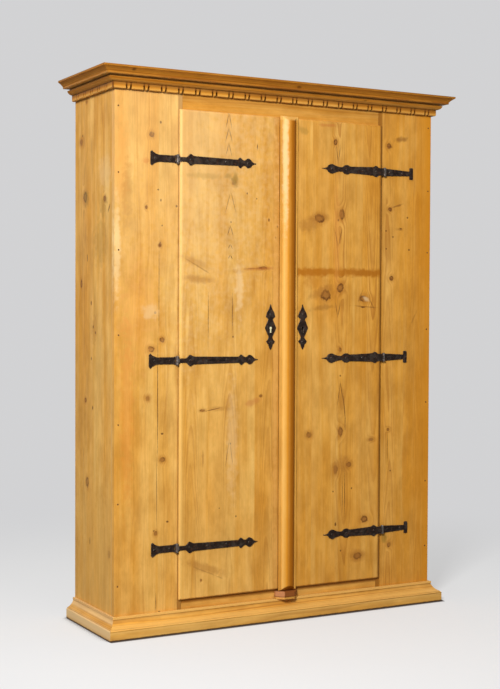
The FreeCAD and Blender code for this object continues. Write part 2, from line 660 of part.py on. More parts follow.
# --------------------------------------------------------- lock and fastenings

def lock_place():
    """X of the lock case's left end, and the height of its bolt's middle."""
    return free_edge(1) + LOCK_EDGE_GAP, KEYHOLE_HEIGHT + LOCK_BOLT_RISE


def lock_bolt(clearance, length):
    """Bolt, or the space around it, from its tip towards the hinge side."""
    left, height = lock_place()
    half = LOCK_BOLT_HEIGHT / 2 + clearance
    inside = DOOR_INSIDE - SLIDING_GAP
    return block((left - LOCK_BOLT_PROUD, left - LOCK_BOLT_PROUD + length),
                 (out(inside + clearance), out(inside - LOCK_BOLT_THICKNESS - clearance)),
                 (height - half, height + half))


def lock_case():
    """Sheet-iron cover, open towards the door, with the bolt's slot in its left end."""
    left = lock_place()[0]
    z_range = (KEYHOLE_HEIGHT - LOCK_HEIGHT / 2, KEYHOLE_HEIGHT + LOCK_HEIGHT / 2)
    shell = block((left, left + LOCK_WIDTH), (out(DOOR_INSIDE), out(DOOR_INSIDE - LOCK_DEPTH)), z_range)
    hollow = block((left + LOCK_PLATE, left + LOCK_WIDTH - LOCK_PLATE),
                   (out(DOOR_INSIDE), out(DOOR_INSIDE - LOCK_DEPTH + LOCK_PLATE)),
                   (z_range[0] + LOCK_PLATE, z_range[1] - LOCK_PLATE))
    return shell.cut(hollow).cut(lock_bolt(SLIDING_GAP, LOCK_EDGE_GAP))


def lock_spring():
    """Flat spring riveted under the top of the case, its nose just over the bolt."""
    left, height = lock_place()
    nose = left + LOCK_SPRING_NOSE
    root = nose + LOCK_SPRING_LENGTH
    low = height + LOCK_BOLT_HEIGHT / 2 + SLIDING_GAP
    high = KEYHOLE_HEIGHT + LOCK_HEIGHT / 2 - LOCK_PLATE
    outline = [(nose, low + LOCK_SPRING_THICKNESS, 0), (root, high, 0), (root + LOCK_SPRING_FOOT, high, 0),
               (root + LOCK_SPRING_FOOT, high - LOCK_SPRING_THICKNESS, 0),
               (root, high - LOCK_SPRING_THICKNESS, 0), (nose, low, 0)]
    back = out(DOOR_INSIDE - SLIDING_GAP)
    return outline_face(outline, lambda a, b: V(a, back, b)).extrude(V(0, LOCK_SPRING_DEPTH, 0))


def key_pin():
    """Pin on the lock cover that a piped key turns on, ending inside the door."""
    back = out(DOOR_INSIDE - LOCK_DEPTH + LOCK_PLATE)
    length = back - out(DOOR_PROUD) - KEY_PIN_SETBACK
    return rod(KEY_PIN_RADIUS, V(RIGHT_KEYHOLE_X, back, KEYHOLE_HEIGHT), V(0, -1, 0), length)


def staple(middle, bar_width, bar_thickness, seat, along_x):
    """Bridge over a sliding bar, its two feet flat on the wood behind it."""
    inner = bar_width / 2 + SLIDING_GAP
    outer = inner + STAPLE_THICKNESS
    rise = bar_thickness + 2 * SLIDING_GAP
    width = KEEPER_WIDTH if along_x else STAPLE_WIDTH
    section = [(-outer - STAPLE_FOOT, 0, 0), (-outer - STAPLE_FOOT, STAPLE_THICKNESS, 0),
               (-outer, STAPLE_THICKNESS, 0), (-outer, rise + STAPLE_THICKNESS, 0),
               (outer, rise + STAPLE_THICKNESS, 0), (outer, STAPLE_THICKNESS, 0),
               (outer + STAPLE_FOOT, STAPLE_THICKNESS, 0), (outer + STAPLE_FOOT, 0, 0),
               (inner, 0, 0), (inner, rise, 0), (-inner, rise, 0), (-inner, 0, 0)]
    x, z = middle
    if along_x:
        face = outline_face(section, lambda a, b: V(x - width / 2, out(seat - b), z + a))
        return face.extrude(V(width, 0, 0))
    face = outline_face(section, lambda a, b: V(x + a, out(seat - b), z - width / 2))
    return face.extrude(V(0, 0, width))


def lock_keeper():
    """Staple on the left door that the lock bolt slides into."""
    x = free_edge(-1) - KEEPER_EDGE_GAP - KEEPER_WIDTH / 2
    return staple((x, lock_place()[1]), LOCK_BOLT_HEIGHT, LOCK_BOLT_THICKNESS, DOOR_INSIDE, True)


def slide_bolt(end, inwards, batten_range):
    """Flat bolt with a turned knob; end is the tip's height, inwards points to its tail."""
    seat = DOOR_INSIDE - BATTEN_THICKNESS - SLIDING_GAP
    tail = end + inwards * SLIDE_BOLT_LENGTH
    bar = block((BOLT_X - SLIDE_BOLT_WIDTH / 2, BOLT_X + SLIDE_BOLT_WIDTH / 2),
                (out(seat), out(seat - SLIDE_BOLT_THICKNESS)), (end, tail))
    knob_z = sum(batten_range) / 2 + inwards * SLIDE_BOLT_TRAVEL / 2
    face = seat - SLIDE_BOLT_THICKNESS
    stem = rod(KNOB_STEM_RADIUS, V(BOLT_X, out(face), knob_z), V(0, 1, 0), KNOB_STEM_LENGTH)
    ball = Part.makeSphere(KNOB_RADIUS, V(BOLT_X, out(face - KNOB_STEM_LENGTH), knob_z))
    return bar.fuse([stem, ball])


def bolt_staples(batten_range):
    seat = DOOR_INSIDE - BATTEN_THICKNESS
    inset = STAPLE_END_GAP + STAPLE_WIDTH / 2
    return [staple((BOLT_X, z), SLIDE_BOLT_WIDTH, SLIDE_BOLT_THICKNESS, seat, False)
            for z in (batten_range[0] + inset, batten_range[1] - inset)]


# --------------------------------------------------------------------- build

save("top_rail", rail(TOP_RAIL))
save("bottom_rail", rail(BOTTOM_RAIL))
save("top_board", block((-HALF_WIDTH, HALF_WIDTH), (FRONT, BACK),
                        (TOP_UNDERSIDE, TOP_UNDERSIDE + TOP_THICKNESS)))
save("bottom_board", block((-INNER_HALF - HOUSING_DEPTH, INNER_HALF + HOUSING_DEPTH),
                           (FRONT + FRAME_THICKNESS, BACK - BACK_THICKNESS),
                           (FLOOR_TOP - FLOOR_THICKNESS, FLOOR_TOP)))
for board in range(BACK_BOARDS):
    save("back_board_" + str(board + 1), back_board(board))
for level, word in enumerate(SHELF_NAMES):
    save(word + "_shelf", shelf(level))
save("shelf_cleats", *[cleat(side, level) for level in range(len(SHELF_NAMES)) for side in (-1, 1)])

save_surround("cornice", cornice_profile(), CORNICE_REACH, CORNICE_REACH)
save_surround("plinth", plinth_profile(), PLINTH_REACH, PLINTH_SIDE_REACH)
save_dentils()
save("foot_block", foot_block())

for side, word in SIDE_WORDS.items():
    save(word + "_side_panel", side_panel(side))
    save(word + "_stile", stile(side))
    save(word + "_door_panel", door_panel(side))
    save(word + "_door_lower_batten", batten(side, LOWER_BATTEN))
    save(word + "_door_upper_batten", batten(side, UPPER_BATTEN))
    save(word + "_door_nails", *door_nails(side))
    save(word + "_escutcheon", escutcheon(side))
    for hinge, leaf, stretch, height in zip(HINGE_NAMES, leaf_outlines(side), STRAP_STRETCHES[side],
                                            HINGE_HEIGHTS):
        save(word + "_" + hinge + "_hinge_leaf", hinge_leaf(side, leaf, height))
        save(word + "_" + hinge + "_hinge_strap", hinge_strap(side, stretch, height))

save("hinge_pins", *[hinge_pin(side, z) for side in SIDE_WORDS for z in HINGE_HEIGHTS])
save("leaf_nails", *[nail(x, z, IRON_THICKNESS) for side in SIDE_WORDS for x, z in leaf_nail_places(side)])
save("closing_strip", closing_strip())
save("keyhole_inlay", keyhole(LEFT_KEYHOLE_X, INLAY_CLEARANCE, out(DOOR_PROUD),
                              ESCUTCHEON_THICKNESS + INLAY_PROUD))
save("lock_case", lock_case())
save("lock_bolt", lock_bolt(0, LOCK_BOLT_LENGTH))
save("lock_spring", lock_spring())
save("key_pin", key_pin())
save("lock_keeper", lock_keeper())
save("upper_slide_bolt", slide_bolt(OPENING_TOP - SLIDE_BOLT_END_GAP, -1, UPPER_BATTEN))
save("lower_slide_bolt", slide_bolt(OPENING_BOTTOM + SLIDE_BOLT_END_GAP, 1, LOWER_BATTEN))
save("slide_bolt_staples", *(bolt_staples(LOWER_BATTEN) + bolt_staples(UPPER_BATTEN)))
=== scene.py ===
import json
import math

import bmesh
import bpy
from mathutils import Matrix, Vector

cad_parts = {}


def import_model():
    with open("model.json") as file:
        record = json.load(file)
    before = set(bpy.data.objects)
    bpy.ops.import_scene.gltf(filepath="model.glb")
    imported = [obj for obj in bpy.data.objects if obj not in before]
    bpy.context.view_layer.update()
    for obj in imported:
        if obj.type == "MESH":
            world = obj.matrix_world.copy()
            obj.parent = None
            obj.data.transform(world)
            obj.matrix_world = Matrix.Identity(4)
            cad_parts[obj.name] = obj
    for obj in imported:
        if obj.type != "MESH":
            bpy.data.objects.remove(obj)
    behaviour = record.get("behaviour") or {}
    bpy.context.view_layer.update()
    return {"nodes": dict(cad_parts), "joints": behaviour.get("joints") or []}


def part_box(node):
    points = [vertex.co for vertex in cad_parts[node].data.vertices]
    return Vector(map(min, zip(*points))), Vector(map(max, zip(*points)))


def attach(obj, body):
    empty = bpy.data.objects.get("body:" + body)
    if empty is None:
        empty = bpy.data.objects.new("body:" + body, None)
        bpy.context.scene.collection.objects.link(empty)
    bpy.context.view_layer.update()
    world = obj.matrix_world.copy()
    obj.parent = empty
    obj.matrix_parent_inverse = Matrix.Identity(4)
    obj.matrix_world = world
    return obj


# The looks of a two-door pine kas cupboard: waxed old pine, wrought iron, plain studio.
# Metres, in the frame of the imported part. Names that end in _MM hold millimetres.

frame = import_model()
NODES = frame["nodes"]
MM = 0.001

# ------------------------------------------------------------------- places

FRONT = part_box("left_stile")[0].y
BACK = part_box("back_board_1")[1].y
DOOR_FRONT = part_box("left_door_panel")[0].y
SIDE_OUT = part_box("right_side_panel")[1].x
SIDE_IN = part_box("right_side_panel")[0].x
SIDE_TOP_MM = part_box("left_side_panel")[1].z / MM
FRAME_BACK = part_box("left_stile")[1].y
HINGE_AXES = [joint["pos_m"][0] for joint in frame["joints"] if joint["type"] == "hinge"]


def linear(red, green, blue):
    """Linear colour of a screen colour given in 0 to 255."""
    shades = [value / 255 for value in (red, green, blue)]
    return tuple(s / 12.92 if s <= 0.04045 else ((s + 0.055) / 1.055) ** 2.4 for s in shades) + (1.0,)


# ---------------------------------------------------------------- node trees

# The span that holds most values of a noise, and a distance that is past any spot.
NOISE_SPAN = (0.3, 0.7)
FAR_OFF = 99.0


class Graph:
    """Short calls for the nodes of one tree. Every input is a socket or a plain value."""

    def __init__(self, tree):
        self.tree = tree

    def feed(self, socket, value):
        """Link a socket to an input, or give the input a plain value."""
        if isinstance(value, bpy.types.NodeSocket):
            self.tree.links.new(value, socket)
        else:
            socket.default_value = value

    def node(self, kind, inputs, **settings):
        """New node with its inputs, by number or name, and its own settings."""
        family = "" if kind.startswith(("GeometryNode", "FunctionNode")) else "ShaderNode"
        made = self.tree.nodes.new(family + kind)
        for name, value in settings.items():
            setattr(made, name, value)
        for key, value in inputs.items():
            self.feed(made.inputs[key], value)
        return made

    def math(self, operation, a, b=0.0):
        return self.node("Math", {0: a, 1: b}, operation=operation).outputs[0]

    def vector(self, operation, a, b):
        return self.node("VectorMath", {0: a, 1: b}, operation=operation).outputs["Vector"]

    def length(self, a):
        return self.node("VectorMath", {0: a}, operation="LENGTH").outputs["Value"]

    def dot(self, a, b):
        return self.node("VectorMath", {0: a, 1: b}, operation="DOT_PRODUCT").outputs["Value"]

    def split(self, a):
        return self.node("SeparateXYZ", {0: a}).outputs

    def join(self, x, y, z):
        return self.node("CombineXYZ", {0: x, 1: y, 2: z}).outputs[0]

    def noise(self, place, detail=2.0, roughness=0.5):
        """Noise with features about one unit of place in size: its value and its colour."""
        inputs = {"Vector": place, "Scale": 1.0, "Detail": detail, "Roughness": roughness}
        made = self.node("TexNoise", inputs)
        return made.outputs["Fac"], made.outputs["Color"]

    def step(self, value, start, end, low=0.0, high=1.0):
        """Smooth change from low to high while value goes from start to end."""
        inputs = {"Value": value, "From Min": start, "From Max": end, "To Min": low, "To Max": high}
        made = self.node("MapRange", inputs, interpolation_type="SMOOTHSTEP")
        return made.outputs["Result"]

    def spread(self, value, low=0.0, high=1.0):
        """Smooth change from low to high over the span that holds most values of a noise."""
        return self.step(value, *NOISE_SPAN, low, high)

    def clamped(self, a):
        return self.node("Clamp", {0: a}).outputs[0]

    def mix(self, factor, a, b, blend="MIX"):
        """Mix of two colours, which are inputs 6 and 7 and output 2 of the node."""
        made = self.node("Mix", {0: factor, 6: a, 7: b}, data_type="RGBA", blend_type=blend)
        return made.outputs[2]

    def spot(self, place, x, z, half_width, half_height, turn=0.0):
        """Distance from a spot's middle on a face, 1 at its edge, whatever the depth.

        Plain vector nodes only: a material with many mapping nodes outgrows the renderer."""
        offset = self.vector("SUBTRACT", place, (x * MM, 0, z * MM))
        per_width = 1 / (half_width * MM)
        per_height = 1 / (half_height * MM)
        if turn == 0:
            return self.length(self.vector("MULTIPLY", offset, (per_width, 0, per_height)))
        cosine = math.cos(math.radians(turn))
        sine = math.sin(math.radians(turn))
        level = self.dot(offset, (cosine * per_width, 0, -sine * per_width))
        upright = self.dot(offset, (sine * per_height, 0, cosine * per_height))
        return self.length(self.join(level, upright, 0.0))

    def nearest(self, place, spots):
        """Distance to the nearest of several spots."""
        near = FAR_OFF
        for spot in spots:
            near = self.math("MINIMUM", near, self.spot(place, *spot))
        return near


def new_group(name, inputs, outputs):
    """Node group with float, vector and colour sockets, and its graph and ends."""
    tree = bpy.data.node_groups.new(name, "ShaderNodeTree")
    for socket, kind in inputs:
        tree.interface.new_socket(socket, in_out="INPUT", socket_type="NodeSocket" + kind)
    for socket, kind in outputs:
        tree.interface.new_socket(socket, in_out="OUTPUT", socket_type="NodeSocket" + kind)
    graph = Graph(tree)
    start = tree.nodes.new("NodeGroupInput").outputs
    end = tree.nodes.new("NodeGroupOutput").inputs
    return graph, start, end


# --------------------------------------------------------------------- pine

PALE = linear(240, 190, 104)
HONEY = linear(226, 166, 72)
ORANGE = linear(217, 139, 24)
DULL = linear(200, 144, 66)
AMBER = linear(178, 104, 2)
RING_LINE = linear(178, 110, 36)
KNOT_HEART = linear(152, 96, 44)
KNOT_RIM = linear(92, 50, 16)
DOT = linear(86, 46, 16)
# Dark brown of painted shade and dirt: corners, notch corners and shadow lines.
SHADE_AND_DIRT = linear(98, 48, 6)
RAW = linear(224, 190, 142)
# Pale of worn wood, also used for painted highlights.
WEAR_AND_HIGHLIGHT = linear(244, 208, 152)
ROSY = linear(190, 130, 92)
RUSSET = linear(136, 74, 34)
SHADE = linear(132, 76, 8)
# Near black of painted shade: the shadow gap under the plinth and the inside of the keyhole.
DEEP_SHADE = linear(18, 11, 6)
SMEAR = linear(168, 108, 42)
MARK = linear(122, 70, 26)
OLIVE = linear(158, 122, 50)
# How far one unit of a seed moves a board through the noise, along each axis.
SEED_STEPS = (7.3, 3.1, 5.7)


def wood_group():
    """Pine with yearly rings about a wandering pith, knots, tone bands and fibres.

    Place holds metres across the board, through it and along its grain."""
    inputs = [("Place", "Vector"), ("Pith", "Vector"), ("Slope", "Vector"), ("Seed", "Float"),
              ("Spacing", "Float"), ("Figure", "Float"), ("Tone", "Float"), ("Warmth", "Float"),
              ("Raw", "Float"), ("Age", "Float"), ("Knot", "Float"), ("Dot", "Float")]
    outputs = [("Color", "Color"), ("Roughness", "Float"), ("Height", "Float")]
    g, start, end = new_group("pine", inputs, outputs)
    seed = start["Seed"]
    shift = g.join(*(g.math("MULTIPLY", seed, step) for step in SEED_STEPS))
    along = g.split(start["Place"])[2]

    def stretched(across, lengthways, detail=2.0, roughness=0.5):
        """Noise in the board's own proportions: repeats per metre across it and along it."""
        scaled = g.vector("MULTIPLY", start["Place"], (across, across, lengthways))
        return g.noise(g.vector("ADD", scaled, shift), detail, roughness)

    def drift(across, lengthways, reach):
        """Shift by noise, up to half of reach either way."""
        centred = g.vector("SUBTRACT", stretched(across, lengthways)[1], (0.5, 0.5, 0.5))
        return g.vector("MULTIPLY", centred, reach)

    def uneven(across, lengthways, reach):
        """Noise about zero, up to half of reach either way."""
        return g.math("MULTIPLY", g.math("SUBTRACT", stretched(across, lengthways)[0], 0.5), reach)

    wander = drift(0.0, 1.3, (0.04, 0.015, 0.0))
    ripple = drift(9.0, 2.2, (0.016, 0.016, 0.0))
    lean = g.vector("MULTIPLY", start["Slope"], g.join(along, along, along))
    from_axis = g.vector("SUBTRACT", start["Place"], g.vector("ADD", start["Pith"], lean))
    from_pith = g.vector("ADD", from_axis, g.vector("ADD", wander, ripple))
    radius = g.length(g.vector("MULTIPLY", from_pith, (1.0, 1.0, 0.0)))

    # Yearly rings, which bend round the knots and blur away from the middle of the board.
    rough_edge = uneven(160.0, 160.0, 0.7)
    warp = uneven(70.0, 45.0, 0.8)
    knot = g.math("ADD", start["Knot"], g.math("ADD", rough_edge, warp))
    bend = g.step(start["Knot"], 0.6, 3.5, 1.2, 0.0)
    phase = g.math("ADD", g.math("DIVIDE", radius, start["Spacing"]), bend)
    ring = g.math("FRACT", phase)
    year = g.math("FLOOR", phase)
    strength = g.node("TexWhiteNoise", {"W": year}, noise_dimensions="1D").outputs["Value"]
    late = g.math("MULTIPLY", g.step(ring, 0.3, 0.9), g.step(ring, 0.93, 1.0, 1.0, 0.0))
    late = g.math("MULTIPLY", late, g.step(strength, 0.0, 1.0, 0.35, 1.0))
    off_centre = g.math("ABSOLUTE", g.split(from_pith)[0])
    late = g.math("MULTIPLY", late, g.step(off_centre, 0.012, 0.045, 1.4, 0.25))
    late = g.math("MULTIPLY", late, g.step(stretched(6.0, 2.0)[0], 0.36, 0.62, 0.5, 1.0))

    band = stretched(30.0, 1.3, 3.0, 0.6)[0]
    stripe = stretched(120.0, 2.6, 2.0, 0.5)[0]
    patch = stretched(7.0, 2.4, 2.0)[0]
    handled = stretched(8.0, 3.4, 3.0, 0.6)[0]
    fibre = stretched(900.0, 22.0, 2.0, 0.6)[0]
    streak = stretched(260.0, 7.0, 1.0)[0]
    blotch = stretched(26.0, 11.0, 4.0, 0.65)[0]
    cloud = stretched(11.0, 7.0, 3.0)[0]

    # Tone: pale and honey bands, warm patches, dulled places, late wood and fine streaks.
    paleness = g.math("SUBTRACT", g.spread(band), start["Tone"])
    paleness = g.math("ADD", paleness, g.spread(stripe, -0.16, 0.16))
    color = g.mix(g.clamped(paleness), PALE, HONEY)
    warm = g.math("ADD", start["Warmth"], g.math("MULTIPLY", g.math("SUBTRACT", patch, 0.5), 1.1))
    color = g.mix(g.clamped(warm), color, ORANGE)
    color = g.mix(g.step(handled, 0.46, 0.74, 0.0, 0.4), color, DULL)
    color = g.mix(g.math("MULTIPLY", start["Age"], g.spread(band, 0.7, 1.0)), color, AMBER)
    color = g.mix(g.math("MULTIPLY", late, start["Figure"]), color, RING_LINE)
    color = g.mix(g.step(streak, 0.62, 0.8, 0.0, 0.16), color, RING_LINE)

    # Darker places are warmer too, so green and blue fall faster than red.
    shade = g.math("MULTIPLY", g.step(fibre, 0.3, 0.72, 0.94, 1.03), g.spread(blotch, 0.89, 1.06))
    shade = g.math("MULTIPLY", shade, g.step(cloud, 0.32, 0.68, 0.94, 1.05))
    warm_shade = {0: shade, 1: g.math("POWER", shade, 1.3), 2: g.math("POWER", shade, 2.0)}
    color = g.mix(1.0, color, g.node("CombineColor", warm_shade).outputs[0], "MULTIPLY")

    raw = g.mix(g.math("MULTIPLY", late, 0.35), RAW, HONEY)
    color = g.mix(start["Raw"], color, raw)

    # Knots: a ringed heart, a soft halo and a broken rim. Then the dots.
    inner_ring = g.step(g.math("FRACT", g.math("MULTIPLY", knot, 3.0)), 0.2, 0.9, 0.0, 0.5)
    heart = g.mix(inner_ring, KNOT_HEART, KNOT_RIM)
    color = g.mix(g.step(knot, 0.7, 2.6, 0.5, 0.0), color, RING_LINE)
    color = g.mix(g.step(knot, 0.4, 1.15, 0.6, 0.0), color, heart)
    rim = g.math("MULTIPLY", g.step(knot, 0.4, 0.85), g.step(knot, 0.85, 1.25, 1.0, 0.0))
    rim = g.math("MULTIPLY", rim, g.step(blotch, 0.4, 0.56, 0.15, 0.9))
    color = g.mix(rim, color, KNOT_RIM)
    color = g.mix(g.step(g.math("ADD", start["Dot"], rough_edge), 0.4, 1.25, 0.85, 0.0), color, DOT)

    g.feed(end["Color"], color)
    dull = g.math("ADD", g.spread(band, 0.44, 0.54), g.math("MULTIPLY", start["Raw"], 0.24))
    g.feed(end["Roughness"], g.math("ADD", dull, g.spread(fibre, -0.03, 0.05)))
    grain = g.math("ADD", g.math("MULTIPLY", fibre, 0.5), g.math("MULTIPLY", late, 0.22))
    sunk = g.step(start["Dot"], 0.5, 1.3, -1.0, 0.0)
    g.feed(end["Height"], g.math("ADD", g.math("ADD", grain, sunk), g.math("MULTIPLY", patch, 1.5)))
    return g.tree


WOOD = wood_group()
WOOD_RELIEF = 0.0005
# Reach of the ambient occlusion that paints shade, with some dirt, into corners.
SHADE_AND_DIRT_REACH = 0.014
BAND_WAVER = 0.0025
FRAY_PER_METRE = 60.0
FRAY = 1.6
WAX_SHINE = 0.2
BOARD_SEED = 17.0
# A colour ramp holds no negative numbers, so a tone is lifted on its way through one.
TONE_LIFT = 0.5
# How raw the inner face of a waxed piece is, and a piece that was never waxed.
RAW_AMOUNT = 0.85
BARE = 0.7
# Where raw wood starts and is full: behind the face of a door, and short of an inner face.
RAW_IN_DOOR = (0.011, 0.013)
RAW_IN_FRAME = (0.003, 0.001)
# Where the painted shade and dirt in a notch start and end, as shares of the pitch from the notch's middle.
NOTCH_SHADE_STARTS = (0.06, 0.1)
NOTCH_SHADE_ENDS = (0.16, 0.18)
NOTCH_SHADE = 0.8

# Which object axes run across the board, through it and along its grain.
GRAINS = {
    "front_upright": (0, 1, 2),
    "side_upright": (1, 0, 2),
    "front_level": (2, 1, 0),
    "side_level": (2, 0, 1),
    "shelf": (1, 2, 0),
}


def new_material(name):
    """Material with an empty node tree, and the tree's graph."""
    material = bpy.data.materials.new(name)
    material.use_nodes = True
    material.node_tree.nodes.clear()
    return material, Graph(material.node_tree)


def finish_material(g, color, roughness, height, depth, **settings):
    """Principled surface with a bump; settings are constants of the shader's own sockets."""
    bump = g.node("Bump", {"Height": height, "Strength": 1.0, "Distance": depth}).outputs[0]
    inputs = {"Base Color": color, "Roughness": roughness, "Normal": bump}
    inputs.update(settings)
    shader = g.node("BsdfPrincipled", inputs)
    g.node("OutputMaterial", {"Surface": shader.outputs[0]})


def color_ramp(g, fraction, stops, interpolation="LINEAR"):
    """Outputs of a colour ramp with two or more stops, each a place from 0 to 1 and a colour."""
    ramp = g.node("ValToRGB", {0: fraction})
    ramp.color_ramp.interpolation = interpolation
    elements = ramp.color_ramp.elements
    for index, (place, color) in enumerate(stops):
        element = elements[index] if index < 2 else elements.new(1.0)
        element.position = place
        element.color = color
    return ramp.outputs


def banded(g, color, across, bands):
    """Tints that change smoothly across a board: (place in millimetres, tint, amount)."""
    low = bands[0][0]
    high = bands[-1][0]
    inputs = {"Value": across, "From Min": low * MM, "From Max": high * MM}
    fraction = g.node("MapRange", inputs).outputs["Result"]
    stops = [((place - low) / (high - low), tint[:3] + (amount,)) for place, tint, amount in bands]
    ramp = color_ramp(g, fraction, stops)
    return g.mix(ramp["Alpha"], color, ramp["Color"])


def board_values(g, across, boards):
    """Pith, tone and warmth of the board at a place across a piece, and a number of its own."""
    low = boards[0][0]
    stops = [(edge - low, (pith - low, tone + TONE_LIFT, warmth, 1.0))
             for edge, pith, tone, warmth in boards]
    ramp = color_ramp(g, g.math("SUBTRACT", across, low), stops, "CONSTANT")
    own, tone, warmth = g.node("SeparateColor", {0: ramp["Color"]}).outputs
    return g.math("ADD", own, low), g.math("SUBTRACT", tone, TONE_LIFT), warmth, own


def notched(g, color, along, first, pitch):
    """Painted shade, with some dirt, in the corners of notches, from the middle of the first one and their
    pitch.
    """
    turns = g.math("ADD", g.math("DIVIDE", g.math("SUBTRACT", along, first), pitch), 0.5)
    offset = g.math("ABSOLUTE", g.math("SUBTRACT", g.math("FRACT", turns), 0.5))
    ends = g.step(offset, *NOTCH_SHADE_ENDS, 1.0, 0.0)
    corner = g.math("MULTIPLY", g.step(offset, *NOTCH_SHADE_STARTS), ends)
    return g.mix(g.math("MULTIPLY", corner, NOTCH_SHADE), color, SHADE_AND_DIRT)


def pine(name, grain, pith, slope, seed, spacing, figure, tone=0.0, warmth=0.3, knots=(), dots=(),
         stains=(), boards=(), raw=None, bare=0.0, age=0.0, bands=(), shade_and_grime=0.85, notches=None, hole=None):
    """Material of one pine piece. boards cut it up across: (left edge, pith, tone, warmth).

    raw says where its bare inner face starts: (axis, start, end), with X counted outwards from
    the middle, so both sides can share it. bare is how raw all of the piece is, shade_and_grime
    is the painted shade, with some dirt, in its corners, and hole is a spot painted near black
    as the shade inside a hole."""
    material, g = new_material(name)
    position = g.node("TexCoord", {}).outputs["Object"]
    parts = g.split(position)
    across, through, along = [parts[axis] for axis in GRAINS[grain]]
    place = g.join(across, through, along)
    pith_across = pith[0]
    if boards:
        pith_across, tone, warmth, own = board_values(g, across, boards)
        seed = g.math("ADD", g.math("MULTIPLY", own, BOARD_SEED), seed)
    if raw:
        axis, start, end = raw
        depth = g.math("ABSOLUTE", parts[axis]) if axis == 0 else parts[axis]
        bare = g.step(depth, start, end, 0.0, RAW_AMOUNT)
    values = {"Place": place, "Pith": g.join(pith_across, pith[1], 0.0), "Slope": (*slope, 0.0),
              "Seed": seed, "Spacing": spacing, "Figure": figure, "Tone": tone, "Warmth": warmth,
              "Raw": bare, "Age": age, "Knot": g.nearest(place, knots), "Dot": g.nearest(place, dots)}
    wood = g.tree.nodes.new("ShaderNodeGroup")
    wood.node_tree = WOOD
    for key, value in values.items():
        g.feed(wood.inputs[key], value)
    color = wood.outputs["Color"]
    fray_place = g.vector("MULTIPLY", place, (FRAY_PER_METRE,) * 3)
    ragged = g.math("SUBTRACT", g.noise(fray_place, 3.0)[0], 0.5)
    # Bands paint light and shade across a piece for the most part, and some tone.
    if bands:
        wavering = g.math("ADD", across, g.math("MULTIPLY", ragged, BAND_WAVER))
        color = banded(g, color, wavering, bands)
    frayed = g.math("MULTIPLY", ragged, FRAY)
    for tint, amount, spot in stains:
        edge = g.math("ADD", g.spot(place, *spot), frayed)
        color = g.mix(g.step(edge, 0.3, 1.3, amount, 0.0), color, tint)
    if raw:
        color = g.mix(bare, color, wood.outputs["Color"])
    # Painted shade: near black where the keyhole shows the wood behind its plate.
    if hole:
        color = g.mix(g.step(g.spot(place, *hole), 0.3, 1.3, 1.0, 0.0), color, DEEP_SHADE)
    # Painted shade with some dirt: darker where ambient occlusion finds corners, creases and gaps.
    occlusion = g.node("AmbientOcclusion", {"Distance": SHADE_AND_DIRT_REACH}, samples=4).outputs["AO"]
    color = g.mix(g.step(occlusion, 0.0, 0.92, shade_and_grime, 0.0), color, SHADE_AND_DIRT)
    if notches:
        color = notched(g, color, along, *notches)
    settings = {"Specular IOR Level": WAX_SHINE}
    finish_material(g, color, wood.outputs["Roughness"], wood.outputs["Height"], WOOD_RELIEF, **settings)
    return material


# ------------------------------------------------------------ iron and brass

IRON_DARK = linear(42, 30, 23)
IRON_GREY = linear(70, 59, 50)
IRON_RUST = linear(98, 56, 30)
IRON_BRIGHT = linear(176, 168, 160)
NAIL_DARK = linear(92, 54, 26)
NAIL_RUST = linear(128, 80, 40)
IRON_RELIEF = 0.0009
HAMMER_MARKS_PER_METRE = 120.0
EDGE_WEAR_AND_HIGHLIGHT_REACH = 0.0012
# Painted highlights on the hinge barrels: full up to the first distance sideways from an axis, none past
# the second.
BARREL_HIGHLIGHT_FULL = 0.003
BARREL_HIGHLIGHT_END = 0.008
BARREL_HIGHLIGHT = 0.24
BRASS_BRIGHT = linear(252, 248, 206)
BRASS_DULL = linear(236, 226, 168)
BRASS_RELIEF = 0.0001


